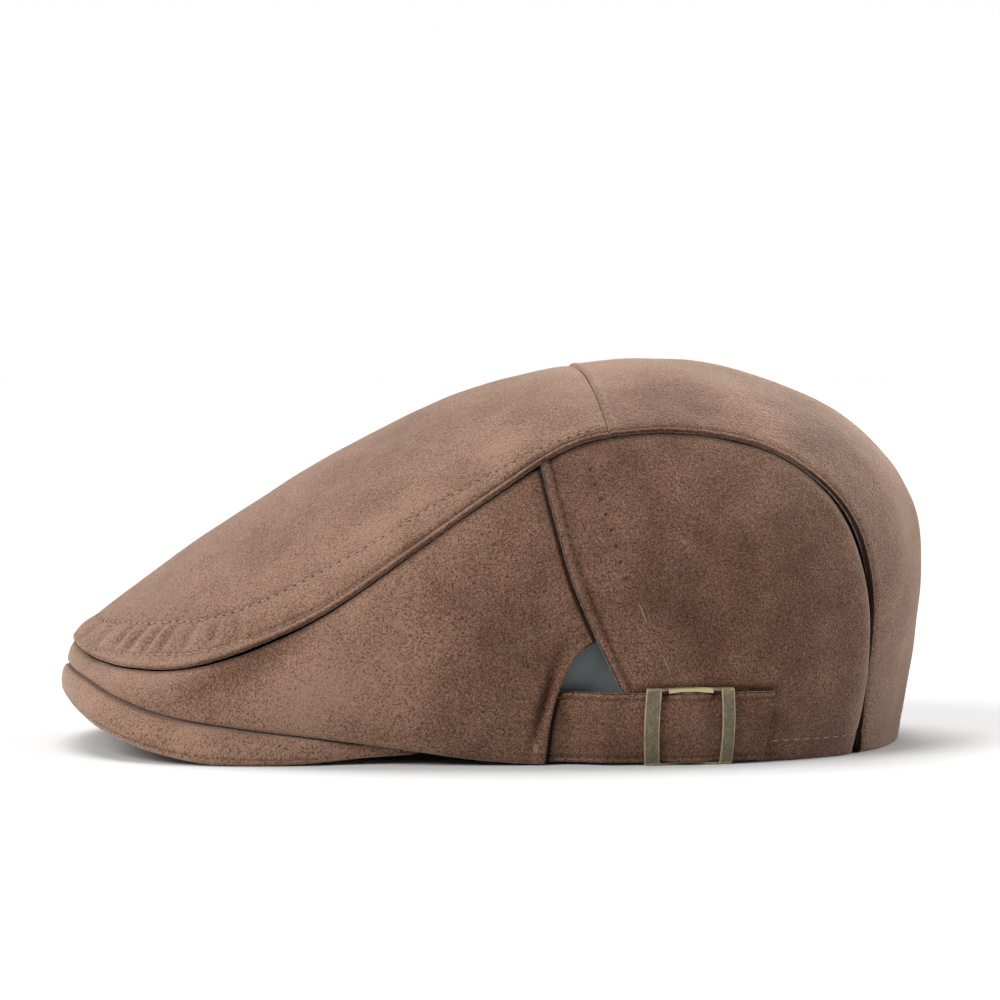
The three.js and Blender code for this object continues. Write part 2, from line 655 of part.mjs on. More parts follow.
function geometryOf(solid) {
  const mesh = solid.getMesh();
  const geometry = new THREE.BufferGeometry();
  geometry.setAttribute("position", new THREE.BufferAttribute(mesh.vertProperties, 3));
  geometry.setIndex(new THREE.BufferAttribute(mesh.triVerts, 1));
  geometry.computeVertexNormals();
  return geometry;
}

const wasm = await Module();
wasm.setup();

const cap = new THREE.Group();
function addPiece(name, geometry, look) {
  const mesh = new THREE.Mesh(geometry, new THREE.MeshStandardMaterial(COLOURS[look]));
  mesh.name = name;
  cap.add(mesh);
}

addPiece("crown_front", crownFront(), "suede");
addPiece("crown_back", crownBack(), "suede");
addPiece("band_front", frontBand(), "suede");
addPiece("side_rear_left", rearSide(-1), "suede");
addPiece("side_rear_right", rearSide(1), "suede");
addPiece("peak", peak(), "suede");
addPiece("lining", lining(), "lining");
addPiece("strap", strap(), "suede");
addPiece("buckle", buckle(wasm), "brass");

export default cap;
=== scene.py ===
"""Suede flat cap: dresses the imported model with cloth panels, seams, stitches, peak, strap and buckle."""
import math

import bmesh
import bpy
import numpy as np
from bpy.props import FloatProperty, FloatVectorProperty, PointerProperty
from mathutils import Matrix, Vector, noise
from mathutils.kdtree import KDTree


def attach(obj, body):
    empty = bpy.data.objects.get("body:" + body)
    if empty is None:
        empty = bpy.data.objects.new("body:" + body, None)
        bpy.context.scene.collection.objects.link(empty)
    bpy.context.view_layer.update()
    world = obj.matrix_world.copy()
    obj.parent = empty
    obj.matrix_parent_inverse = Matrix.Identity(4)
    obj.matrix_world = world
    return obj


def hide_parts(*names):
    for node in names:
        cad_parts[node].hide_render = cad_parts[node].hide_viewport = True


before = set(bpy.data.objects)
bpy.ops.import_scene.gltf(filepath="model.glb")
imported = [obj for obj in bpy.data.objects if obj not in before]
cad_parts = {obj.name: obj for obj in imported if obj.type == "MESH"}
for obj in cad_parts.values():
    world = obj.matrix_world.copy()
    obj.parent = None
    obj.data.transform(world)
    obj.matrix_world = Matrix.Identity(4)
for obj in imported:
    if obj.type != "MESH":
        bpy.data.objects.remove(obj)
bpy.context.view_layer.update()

bl_info = {
    "name": "Suede flat cap",
    "version": (1, 0, 0),
    "blender": (4, 5, 0),
    "location": "View3D > Sidebar > Flat Cap",
    "description": "Models a suede flat cap with its seams, stitches, strap and buckle",
    "category": "Add Mesh",
}

MM = 0.001
ROOT = "root"

# One rib of the crown a row, from the peak's tip to the back of the rim. x is a share of half the
# length, y and swell of half the width, z of the height. out and drop are shares of the board.
RIB_COLUMNS = (
    "rim_x", "rim_y", "rim_z", "seam_x", "seam_y", "seam_z", "crest_x", "crest_z", "swell", "out", "drop",
)
RIB_ROWS = (
    (-0.987, 0.0, 0.21, -0.975, 0.0, 0.271, -0.975, 0.271, 0.004, 0.45, 1.95),
    (-0.974, -0.185, 0.2, -0.958, -0.185, 0.252, -0.955, 0.303, 0.008, 0.6, 1.98),
    (-0.942, -0.335, 0.184, -0.916, -0.325, 0.233, -0.916, 0.337, 0.012, 0.85, 2.33),
    (-0.884, -0.51, 0.151, -0.848, -0.5, 0.2245, -0.835, 0.405, 0.018, 1.12, 2.41),
    (-0.783, -0.674, 0.115, -0.739, -0.663, 0.2325, -0.71, 0.508, 0.03, 1.33, 2.51),
    (-0.652, -0.783, 0.093, -0.601, -0.777, 0.283, -0.565, 0.614, 0.045, 1.35, 2.59),
    (-0.493, -0.848, 0.073, -0.435, -0.837, 0.3725, -0.406, 0.728, 0.062, 0.5, 1.96),
    (-0.32, -0.88, 0.049, -0.245, -0.859, 0.519, -0.217, 0.839, 0.085, -0.8, 0.86),
    (-0.087, -0.918, 0.012, -0.058, -0.83, 0.664, -0.043, 0.917, 0.118, -0.9, -0.6),
    (0.116, -0.93, 0.0, 0.116, -0.772, 0.781, 0.116, 0.966, 0.16, -0.9, -0.9),
    (0.275, -0.932, 0.0, 0.275, -0.741, 0.816, 0.282, 0.992, 0.19, -0.9, -0.9),
    (0.42, -0.913, 0.0, 0.435, -0.722, 0.809, 0.464, 0.995, 0.19, -0.9, -0.9),
    (0.551, -0.87, 0.0, 0.58, -0.7, 0.766, 0.638, 0.946, 0.175, -0.9, -0.9),
    (0.645, -0.803, 0.0, 0.696, -0.688, 0.678, 0.783, 0.872, 0.135, -0.9, -0.9),
    (0.71, -0.737, 0.0, 0.768, -0.682, 0.567, 0.895, 0.765, 0.105, -0.9, -0.9),
    (0.75, -0.685, 0.0, 0.799, -0.68, 0.428, 0.978, 0.627, 0.056, -0.9, -0.9),
    (0.768, -0.655, 0.0, 0.799, -0.678, 0.296, 0.996, 0.469, 0.02, -0.9, -0.9),
    (0.777, -0.638, 0.0, 0.786, -0.663, 0.164, 0.983, 0.271, 0.002, -0.9, -0.9),
    (0.779, -0.63, 0.0, 0.779, -0.63, 0.0, 0.942, 0.0, 0.0, -0.9, -0.9),
)
BACK_RIB = len(RIB_ROWS) - 1
PEAK_END_RIB = 7.35
CROWN_TIP_RIB = 0.03
CROSS_SEAM_RIB = 9.5
CROSS_SEAM_GAP = 0.002
REAR_PANEL_END_RIB = BACK_RIB - 0.32
TOP_RISE = 0.5
TOP_REACH = 0.8
CREST_REACH = 0.42

# Lines on the left side as seen from the left: a share of half the length, a share of the height
SIDE_SEAM_LINE = (
    (0.048, 0.74), (0.0735, 0.6), (0.107, 0.45), (0.159, 0.307), (0.211, 0.183), (0.27, 0.0),
)
NOTCH_LINE = (
    (0.155, 0.307), (0.123, 0.282), (0.101, 0.245), (0.0775, 0.184), (0.062, 0.12), (0.05, 0.0),
)
HOLE_ROW_LINE = (
    (0.151, 0.745), (0.179, 0.636), (0.203, 0.544), (0.22, 0.471), (0.246, 0.413),
)
LOOSE_THREADS = (
    ((0.248, 0.41), (0.27, 0.343)),
    ((0.3, 0.277), (0.322, 0.22)),
)
# The bar of thread at the notch's lower corner: x, low z, high z
BARTACK = (0.026, 0.025, 0.06)

# Soft folds: centre, angle in degrees as seen from the left, reach along and across, depth in mm
FOLD_COLUMNS = ("x", "z", "angle", "length", "width", "depth")
SIDE_FOLDS = (
    (-0.6, 0.225, 36, 0.17, 0.06, -2.0),
    (-0.43, 0.27, 40, 0.2, 0.07, 1.0),
    (0.02, 0.35, -62, 0.2, 0.07, -1.2),
    (0.42, 0.45, 60, 0.16, 0.09, -1.5),
    (0.56, 0.24, 30, 0.14, 0.06, 1.1),
)
BACK_FOLDS = (
    (0.9, 0.3, 68, 0.12, 0.028, 2.0),
    (0.93, 0.5, 80, 0.14, 0.032, -1.8),
    (0.5, 0.97, -14, 0.2, 0.03, -1.3),
)
# The pressed hollow beside the notch's folded edge, and the sharper part of the band's valley
BAND_FOLDS = (
    (0.047, 0.165, 74, 0.1, 0.012, -1.7),
    (-0.61, 0.24, 29, 0.19, 0.036, -1.3),
)
# Painted shade in the pressed hollow beside the notch's folded edge, and a lighter patch near the notch's
# foot.
BAND_PATCHES = (
    (0.045, 0.165, 74, 0.1, 0.011, -0.6),
    (0.02, 0.06, 80, 0.08, 0.02, 0.12),
)

# Distance in mm of the crown's two rows of stitches from the long seam, by the place along it
FIRST_ROW = (
    (0, 2.0), (22, 2.2), (46, 4.4), (62, 5.3), (75, 4.8), (90, 4.3), (110, 4.2), (150, 3.4), (215, 2.7),
)
SECOND_ROW = (
    (0, 10.5), (15, 11.4), (32, 14.6), (60, 17.7), (75, 17.1), (95, 16.3), (115, 15.9), (132, 15.0),
    (150, 13.0), (168, 11.6), (185, 8.8), (199, 6.6), (214, 4.4),
)

# Lift of the cloth in mm by distance in mm from an edge
FOLDED_EDGE = (
    (0.0, -0.95), (0.12, -0.5), (0.35, 0.0), (0.7, 0.36), (1.2, 0.52), (1.8, 0.5), (2.6, 0.3),
    (4.0, 0.08), (7.0, 0.0),
)
WELT_EDGE = (
    (0.0, -0.95), (0.12, -0.45), (0.35, 0.08), (0.7, 0.45), (1.05, 0.58), (1.45, 0.48), (1.85, 0.1),
    (2.2, -0.34), (2.55, -0.42), (3.0, -0.25), (4.2, 0.02), (7.0, 0.0),
)
TUCKED_EDGE = (
    (0.0, -1.15), (0.4, -1.02), (1.0, -0.78), (2.0, -0.48), (3.5, -0.22), (6.0, -0.04), (9.0, 0.0),
)
SIDE_WELT = (
    (0.0, -1.2), (0.12, -0.6), (0.35, 0.1), (0.7, 0.6), (1.2, 0.88), (1.8, 0.8), (2.4, 0.42),
    (3.0, -0.16), (3.4, -0.36), (4.0, -0.24), (5.0, -0.05), (6.5, 0.0),
)
FREE_EDGE = (
    (0.0, -0.9), (0.15, -0.5), (0.4, -0.2), (0.8, -0.04), (1.4, 0.0),
)
STRAP_EDGE = ((0.0, -0.75), (0.12, -0.4), (0.3, -0.16), (0.7, 0.0))
STRAP_END = ((0.0, -0.75), (0.15, -0.4), (0.35, -0.16), (0.8, 0.0))
# How far in mm a folded edge turns back under itself, by distance from it
UNDERCUT = ((0.0, 0.55), (0.12, 0.25), (0.35, 0.05), (0.7, 0.0))

# Distances of stitches in mm: from the hem, the side seam, the strap's edges and the strap's end
HEM_DISTANCE = 6.9
SIDE_ROW_DISTANCE = 3.4
STRAP_ROW_DISTANCE = 1.9
STRAP_END_DISTANCES = (1.6, 3.6)

# Bumps beside an edge: height, distance in mm of the middle from the edge, and width. The height is a lift of
# the cloth in mm, or in the tables of lightness a change in the colour's lightness.
HEM_GROOVE = ((-0.25, HEM_DISTANCE, 0.9),)
BEHIND_CROSS_SEAM = ((-0.55, 0, 0.4), (0.35, 1.6, 1.0))
AHEAD_OF_CROSS_SEAM = ((-0.55, 0, 0.5), (-0.25, 0.8, 2.2))
STRAP_EDGE_GROOVE = ((-0.4, STRAP_ROW_DISTANCE, 0.5),)
STRAP_END_GROOVES = ((-0.16, STRAP_END_DISTANCES[0], 0.4), (-0.16, STRAP_END_DISTANCES[1], 0.4))
# Tables of lightness: painted shade in the long seam, below it, beside the folded edges, along the notch's
# edge and in the stitch grooves; painted highlights on the ridges of the side welt and of the strap's edges;
# the crown's rolled edge a little lighter.
CROWN_SEAM_LIGHT_AND_SHADE = ((-0.55, 0, 0.7), (0.1, 1.4, 0.5))
BELOW_SEAM_SHADE = ((-0.45, 0, 1.2),)
SEWN_EDGE_SHADE = ((-1.5, 0.8, 0.5),)
NOTCH_EDGE_SHADE = ((-0.6, 0, 0.6),)
SIDE_WELT_LIGHT_AND_SHADE = ((0.14, 1.6, 0.8), (-1.8, 0, 0.5), (-0.3, SIDE_ROW_DISTANCE, 0.5))
STRAP_EDGE_LIGHT_AND_SHADE = ((0.15, 0.8, 0.4), (-0.25, STRAP_ROW_DISTANCE, 0.4))

# Distances in mm of a grid's lines from the edge that they follow
EDGE_STEPS = np.array((0.0, 0.12, 0.3, 0.55, 0.85, 1.2, 1.6, 2.0, 2.4, 2.9, 3.6, 4.6))
CROWN_STEPS = np.concatenate([EDGE_STEPS, np.arange(5.4, 20, 0.85)])
TIP_STEPS = np.arange(0, 5, 0.8)
STRAP_STEPS = np.array((0.0, 0.12, 0.3, 0.6, 1.0, 1.5, 1.9, 2.3, 2.9))
NO_STEPS = np.array((0.0,))

# Sizes in mm of stitches and of the dark spots that paint the shade in needle holes: length, width, half the
# thickness, and how far the middle lies above the cloth
CROWN_STITCH = (2.2, 0.44, 0.2, 0.06)
HEM_STITCH = (2.7, 0.42, 0.16, 0.1)
SIDE_STITCH = (2.3, 0.36, 0.14, 0.02)
STRAP_STITCH = (2.1, 0.34, 0.14, 0.02)
BARTACK_STITCH = (3.9, 0.34, 0.14, 0.06)
CROWN_HOLE = (0.75, 0.7, 0.14, 0.02)
SIDE_HOLE = (0.85, 0.85, 0.16, 0.0)
LARGE_HOLE = (1.3, 1.15, 0.16, 0.03)
HEM_PITCH = 3.9
STRAP_PITCH = 2.9
LARGE_HOLE_PITCH = 5.2

# The peak's rounded outer face: shares of the reach out and of the drop
PEAK_FACE = (
    (0.0, 0.0), (0.34, 0.05), (0.62, 0.15), (0.84, 0.3), (0.96, 0.48), (1.0, 0.62), (0.99, 0.745),
    (0.945, 0.79), (0.97, 0.84), (0.87, 0.96),
)
PEAK_INNER_FRONT = 0.225
PEAK_INNER_END = 0.075
PEAK_END_ANGLE = math.radians(72)
# The dark lines along the peak: the point of its cross-section, and how much darker the nap is there
PEAK_SEAM_LINES = ((8, 0.7), (15, 0.45))

# Patches where the colour is lighter or darker: painted shade in the band's valley, painted highlights along
# the crest and on the back's bulge, darker low on the back, and nap that lies lighter or darker elsewhere.
# The columns are those of a fold, and the last one is the change in lightness.
LIGHT_AND_NAP_PATCHES = (
    (0.48, 0.42, 60, 0.24, 0.17, -0.2),
    (0.72, 0.25, 80, 0.16, 0.12, -0.04),
    (0.3, 0.68, 10, 0.22, 0.1, 0.06),
    (-0.61, 0.24, 29, 0.2, 0.04, -0.5),
    (-0.8, 0.2, 15, 0.14, 0.08, 0.24),
    (-0.45, 0.17, 30, 0.16, 0.06, 0.38),
    (-0.02, 0.28, 70, 0.3, 0.13, -0.2),
    (-0.3, 0.75, 35, 0.2, 0.05, -0.08),
    (0.25, 0.99, 0, 0.25, 0.04, 0.4),
    (0.93, 0.33, 82, 0.22, 0.06, 0.22),
    (0.92, 0.12, 82, 0.17, 0.1, -0.22),
)
# Patches on the crown, in the same columns: lighter and darker patches of nap and wear, and a painted
# highlight along the back's right edge in the row at 0.92, 0.6.
CROWN_PATCHES = (
    (-0.31, 0.575, 33, 0.07, 0.028, 0.32),
    (-0.2, 0.655, 33, 0.06, 0.026, 0.28),
    (-0.03, 0.775, 30, 0.06, 0.028, 0.36),
    (-0.4, 0.78, 33, 0.13, 0.05, 0.14),
    (-0.2, 0.8, 33, 0.1, 0.05, -0.12),
    (-0.55, 0.52, 36, 0.12, 0.05, -0.08),
    (0.225, 0.97, 0, 0.1, 0.05, 0.26),
    (0.377, 0.89, -10, 0.12, 0.055, -0.24),
    (0.533, 0.885, -25, 0.12, 0.045, 0.3),
    (0.6, 0.965, -20, 0.12, 0.03, -0.2),
    (0.72, 0.82, -48, 0.12, 0.05, -0.22),
    (0.85, 0.79, -50, 0.13, 0.04, 0.3),
    (0.92, 0.6, -74, 0.17, 0.04, 0.65),
    (0.63, 0.75, -38, 0.1, 0.03, 0.16),
)


class FlatCapSizes(bpy.types.PropertyGroup):
    cap_length: FloatProperty(
        name="Length", description="From the peak's tip to the back", default=0.276, unit="LENGTH")
    crown_width: FloatProperty(
        name="Width", description="Across the crown", default=0.184, unit="LENGTH")
    crown_height: FloatProperty(
        name="Height", description="From the rim to the crest", default=0.1226, unit="LENGTH")
    cloth: FloatProperty(
        name="Cloth", description="Thickness of a panel", default=0.0018, unit="LENGTH")
    peak_depth: FloatProperty(
        name="Peak depth", description="From the peak's tip to its inner edge", default=0.063, unit="LENGTH")
    peak_board: FloatProperty(
        name="Peak board", description="Thickness of the peak", default=0.0044, unit="LENGTH")
    stitch: FloatProperty(
        name="Stitch", description="Length of one stitch with its gap", default=0.0031, unit="LENGTH")
    gather_depth: FloatProperty(
        name="Gathers", description="Depth of the puckers at the front", default=0.0008, unit="LENGTH")
    strap_width: FloatProperty(
        name="Strap width", description="Height of the strap", default=0.0206, unit="LENGTH")
    buckle_length: FloatProperty(
        name="Buckle length", description="Along the strap", default=0.0266, unit="LENGTH")


class FlatCapFinish(bpy.types.PropertyGroup):
    nap_light: FloatVectorProperty(
        name="Light nap", description="Suede where the nap stands", subtype="COLOR", size=3,
        default=(0.31, 0.186, 0.13), min=0, max=1)
    nap_dark: FloatVectorProperty(
        name="Dark nap", description="Suede where the nap lies flat", subtype="COLOR", size=3,
        default=(0.079, 0.0345, 0.0205), min=0, max=1)
    thread: FloatVectorProperty(
        name="Thread", description="Sewing thread", subtype="COLOR", size=3,
        default=(0.5, 0.35, 0.24), min=0, max=1)
    lining: FloatVectorProperty(
        name="Lining", description="Satin lining", subtype="COLOR", size=3,
        default=(0.215, 0.242, 0.253), min=0, max=1)
    brass: FloatVectorProperty(
        name="Brass", description="Buckle where it is rubbed bright", subtype="COLOR", size=3,
        default=(0.47, 0.39, 0.215), min=0, max=1)
    patina: FloatVectorProperty(
        name="Patina", description="Buckle where it is dull", subtype="COLOR", size=3,
        default=(0.15, 0.134, 0.096), min=0, max=1)


def lerp(a, b, t):
    return a + (b - a) * t


def ramp(value, low, high):
    t = np.clip((value - low) / (high - low), 0, 1)
    return t * t * (3 - 2 * t)


def unit(vectors):
    return vectors / np.maximum(np.linalg.norm(vectors, axis=-1, keepdims=True), 1e-9)


def bump(value, centre, width):
    return np.exp(-(((value - centre) / width) ** 2))


def bumps(rows, value):
    return sum(height * bump(value, centre, width) for height, centre, width in rows)


def profile(table, distance):
    return np.interp(distance, [d for d, _ in table], [lift for _, lift in table])


def mirrored_where(points, mask):
    points[..., 1] = np.where(mask, -points[..., 1], points[..., 1])
    return points


def soft_noise(points, wavelength, seed=0.0):
    """Smooth noise from -1 to 1 at points in mm, with bumps about one wavelength across."""
    flat = points.reshape(-1, 3) / wavelength
    values = [noise.noise(Vector((x + seed, y - seed, z + 2 * seed))) for x, y, z in flat]
    return np.array(values).reshape(points.shape[:-1])


class CapForm:
    """The cap's cloth surface, from its sizes and the table of ribs. It works in millimetres."""

    def __init__(self, sizes):
        self.half_length = sizes.cap_length / MM / 2
        self.half_width = sizes.crown_width / MM / 2
        self.height = sizes.crown_height / MM
        self.board = sizes.peak_board / MM
        self.peak_depth = sizes.peak_depth / MM
        self.stitch = sizes.stitch / MM
        self.gather_depth = sizes.gather_depth / MM
        rows = np.array(RIB_ROWS)
        scale = {"x": self.half_length, "y": self.half_width, "z": self.height}
        for column, name in enumerate(RIB_COLUMNS):
            rows[:, column] *= scale.get(name[-1], 1) if "_" in name else 1
        rows[:, RIB_COLUMNS.index("swell")] *= self.half_width
        before = rows[1].copy()
        for name in ("rim_y", "seam_y"):
            before[RIB_COLUMNS.index(name)] *= -1
        self.table = np.vstack([before, rows, 2 * rows[-1] - rows[-2]])
        marks = np.linspace(-BACK_RIB, BACK_RIB, 4001)
        self.seam_line = mirrored_where(self.rib(marks)["seam"], marks < 0)
        run = run_along(self.seam_line)
        self.seam_run = run - run[len(run) // 2]
        self.seam_tree = KDTree(len(marks))
        for k, point in enumerate(self.seam_line.tolist()):
            self.seam_tree.insert(point, k)
        self.seam_tree.balance()
        self.side_seam = self.line_on_wall(SIDE_SEAM_LINE)
        self.notch_edge = self.line_on_wall(NOTCH_LINE)
        self.notch_top = float(self.find_on_wall(*self.seen(NOTCH_LINE[0]))[1])
        self.side_seam_rib = float(self.side_seam(np.array(1.0)))

    def seen(self, spot):
        return np.array(spot[0] * self.half_length), np.array(spot[1] * self.height)

    def rib(self, u):
        u = np.abs(np.asarray(u, float))
        row = np.clip(np.floor(u).astype(int), 0, BACK_RIB - 1)
        f = (u - row)[..., None]
        a, b, c, d = (self.table[row + k] for k in range(4))
        values = b * (1 + 2 * f) * (1 - f) ** 2 + (c - a) / 2 * f * (1 - f) ** 2
        values = values + c * f * f * (3 - 2 * f) + (d - b) / 2 * f * f * (f - 1)
        got = {name: values[..., k] for k, name in enumerate(RIB_COLUMNS)}
        got["rim"] = np.stack([got["rim_x"], got["rim_y"], np.maximum(got["rim_z"], 0)], -1)
        got["seam"] = np.stack([got["seam_x"], got["seam_y"], got["seam_z"]], -1)
        got["crest"] = np.stack([got["crest_x"], 0 * got["crest_x"], got["crest_z"]], -1)
        return got

    def out_of_rim(self, u):
        step = 0.02
        before = self.rib(np.maximum(u - step, 0))["rim"]
        after = self.rib(np.minimum(u + step, BACK_RIB))["rim"]
        before[..., 1] = np.where(u < step, -after[..., 1], before[..., 1])
        along = after - before
        return unit(np.stack([along[..., 1], -along[..., 0], 0 * along[..., 0]], -1))

    def fold_depth(self, rows, points):
        depth = np.zeros(points.shape[:-1])
        for row in rows:
            fold = dict(zip(FOLD_COLUMNS, row))
            angle = math.radians(fold["angle"])
            dx = points[..., 0] - fold["x"] * self.half_length
            dz = points[..., 2] - fold["z"] * self.height
            along = (dx * math.cos(angle) + dz * math.sin(angle)) / (fold["length"] * self.half_length)
            across = (dz * math.cos(angle) - dx * math.sin(angle)) / (fold["width"] * self.half_length)
            depth += fold["depth"] * np.exp(-along ** 2 - across ** 2)
        return depth

    def wall(self, u, t):
        """The wall from the rim, t = 0, to the long seam, t = 1. Negative u is the right side."""
        u, t = np.broadcast_arrays(np.asarray(u, float), np.asarray(t, float))
        at = np.abs(u)
        rib = self.rib(at)
        out = self.out_of_rim(at)
        low = lerp(rib["rim"], rib["seam"], 1 / 3) + out * rib["swell"][..., None]
        high = lerp(rib["rim"], rib["seam"], 2 / 3) + out * rib["swell"][..., None]
        point = bezier(rib["rim"], low, high, rib["seam"], t)
        free = np.sin(math.pi * np.clip(t, 0, 1))
        point = point + out * (free * self.fold_depth(SIDE_FOLDS, point))[..., None]
        return mirrored_where(point, u < 0)

    def top(self, u, v):
        """The crown's top from the left seam, v = -1, over the crest to the right seam, v = 1."""
        u, v = np.broadcast_arrays(np.asarray(u, float), np.asarray(v, float))
        side = -np.abs(v)
        rib = self.rib(u)
        seam, crest = rib["seam"], rib["crest"]
        rise = lerp(seam, crest, TOP_RISE)
        rise[..., 1] = seam[..., 1] * TOP_REACH
        level = crest.copy()
        level[..., 1] = seam[..., 1] * CREST_REACH
        point = bezier(seam, rise, level, crest, 1 + side)
        free = np.sin(math.pi / 2 * (1 + side))
        facing = crest - seam
        facing = unit(np.stack([facing[..., 0], 0 * free, facing[..., 2] + 1], -1))
        point = point + facing * (free * self.fold_depth(BACK_FOLDS, point))[..., None]
        return mirrored_where(point, v > 0)

    @staticmethod
    def facing(surface, a, b, step=0.01):
        along = surface(a + step, b) - surface(a - step, b)
        across = surface(a, b + step) - surface(a, b - step)
        return unit(np.cross(along, across))

    def facing_at_seam(self, u):
        safe = np.clip(np.abs(u), 0.3, BACK_RIB - 0.1)
        below = self.facing(self.wall, safe, 0.98 + 0 * safe)
        above = self.facing(self.top, safe, -0.98 + 0 * safe)
        n = unit(below + above)
        n[..., 1] *= np.minimum(np.abs(u) / safe, 1)
        return unit(mirrored_where(n, u < 0))

    def beside_seam(self, points):
        """Distance in mm to the long seam, and the place along it, 0 at the tip and more to the left."""
        flat = points.reshape(-1, 3)
        nearest = np.array([self.seam_tree.find(point)[1] for point in flat.tolist()])
        away = np.full(len(flat), np.inf)
        along = np.zeros(len(flat))
        for step in (-1, 0):
            k = np.clip(nearest + step, 0, len(self.seam_line) - 2)
            a, b = self.seam_line[k], self.seam_line[k + 1]
            share = np.clip(((flat - a) * (b - a)).sum(-1) / ((b - a) ** 2).sum(-1), 0, 1)
            distance = np.linalg.norm(flat - lerp(a, b, share[:, None]), axis=-1)
            closer = distance < away
            away = np.where(closer, distance, away)
            along = np.where(closer, lerp(self.seam_run[k], self.seam_run[k + 1], share), along)
        return away.reshape(points.shape[:-1]), along.reshape(points.shape[:-1])

    def wall_facing(self, u, t):
        at = np.clip(np.abs(u), 0.0, BACK_RIB - 0.1)
        n = self.facing(self.wall, at, np.clip(t, 0.02, 0.98))
        n = mirrored_where(n, u < 0)
        from_seam = np.linalg.norm(self.wall(at, t) - self.rib(at)["seam"], axis=-1)
        near = 1 - ramp(from_seam, 1.5, 7)
        near = np.maximum(near, ramp(at, BACK_RIB - 1.6, BACK_RIB - 0.6))[..., None]
        n = unit(lerp(n, self.facing_at_seam(u), near))
        level = unit(n * (1, 1, 0))
        return unit(lerp(n, level, 1 - ramp(t, 0, 0.1)[..., None]))

    def top_facing(self, u, v):
        from_seam = np.linalg.norm(self.top(u, -np.abs(v)) - self.rib(u)["seam"], axis=-1)
        at = np.minimum(u, BACK_RIB - 0.02)
        n = mirrored_where(self.facing(self.top, at, np.clip(-np.abs(v), -0.98, -0.0)), v > 0)
        seam = mirrored_where(self.facing_at_seam(u), v > 0)
        n = unit(lerp(n, seam, 1 - ramp(from_seam, 1.5, 7)[..., None]))
        level = unit(n * (1, 1, 0))
        return unit(lerp(n, level, ramp(u, BACK_RIB - 0.35, BACK_RIB)[..., None]))

    def find_on_wall(self, x, z):
        """The wall's u and t that are seen at x and z from the left."""
        u = np.full(np.shape(x), 5.0)
        t = np.full(np.shape(x), 0.5)
        step = 0.01
        for _ in range(30):
            here = self.wall(u, t)
            du = (self.wall(u + step, t) - here) / step
            dt = (self.wall(u, t + step) - here) / step
            whole = du[..., 0] * dt[..., 2] - dt[..., 0] * du[..., 2]
            miss_x, miss_z = x - here[..., 0], z - here[..., 2]
            move_u = (miss_x * dt[..., 2] - dt[..., 0] * miss_z) / whole
            move_t = (du[..., 0] * miss_z - miss_x * du[..., 2]) / whole
            u = np.clip(u + np.clip(move_u, -1.5, 1.5), 0.5, BACK_RIB - 0.5)
            t = np.clip(t + np.clip(move_t, -0.3, 0.3), -0.1, 1.1)
        return u, t

    def line_on_wall(self, line):
        """A line drawn on the side view, as the wall's u at a given t."""
        xs = np.array([x for x, _ in line]) * self.half_length
        zs = np.array([z for _, z in line]) * self.height
        u, t = self.find_on_wall(xs, zs)
        fine = smooth_line(np.stack([t, u], -1), 60)
        order = np.argsort(fine[:, 0])
        return lambda at: np.interp(at, fine[order, 0], fine[order, 1])

    def band_edge(self, t, side):
        """The front band's rear edge: the side seam, and on the left the notch below it."""
        seam = self.side_seam(t)
        if side < 0:
            return seam
        return np.where(t < self.notch_top, np.minimum(self.notch_edge(t), seam), seam)

    def rear_edge(self, t):
        """The rear side panel's front edge, which laps a little over the band."""
        return self.side_seam(t) - 0.02

    def band_cloth(self, u, t):
        """Points of the front band's face, with its edges, folds and hollow."""
        base = self.wall(u, t)
        left = u > 0
        from_seam, _ = self.beside_seam(base)
        rim = mirrored_where(self.rib(u)["rim"], u < 0)
        from_rim = np.linalg.norm(base - rim, axis=-1)
        edge_u = np.where(left, self.band_edge(t, 1), self.band_edge(t, -1))
        from_edge = np.linalg.norm(base - self.wall(np.where(left, edge_u, -edge_u), t), axis=-1)
        free = left & (t < self.notch_top)
        lift = profile(TUCKED_EDGE, from_seam) + profile(FREE_EDGE, from_rim)
        lift = lift + np.where(free, profile(FREE_EDGE, from_edge), profile(TUCKED_EDGE, from_edge))
        lift = lift + np.where(left, self.fold_depth(BAND_FOLDS, base), 0)
        lift = lift + 0.35 * soft_noise(base, 26, 3) + 0.16 * soft_noise(base, 9, 5)
        return base + self.wall_facing(u, t) * lift[..., None], from_seam, from_edge

    def rear_cloth(self, u, t):
        """Points of a rear side panel's face. Its front edge is folded over the band."""
        base = self.wall(u, t)
        sign = np.where(u < 0, -1, 1)
        from_seam, _ = self.beside_seam(base)
        from_rim = base[..., 2]
        from_edge = 0.9 * np.linalg.norm(base - self.wall(sign * self.rear_edge(t), t), axis=-1)
        lift = profile(TUCKED_EDGE, from_seam) + profile(FREE_EDGE, from_rim)
        lift = lift + profile(SIDE_WELT, from_edge)
        hollow = 2.2 - 1.2 * ramp(base[..., 2], 36, 52)
        lift = lift - hollow * bump(from_seam, 0.4, 2.3) * ramp(base[..., 0], 90, 107)
        inward = unit(self.wall(u + 0.01 * sign, t) - base)
        base = base + inward * profile(UNDERCUT, from_edge)[..., None]
        lift = lift + bumps(HEM_GROOVE, from_rim)
        lift = lift + 0.4 * soft_noise(base, 30, 7) + 0.16 * soft_noise(base, 9, 9)
        return base + self.wall_facing(u, t) * lift[..., None], from_seam, from_edge

    @staticmethod
    def first_row(along):
        return profile(FIRST_ROW, np.abs(along))

    @staticmethod
    def second_row(along):
        return profile(SECOND_ROW, np.abs(along))

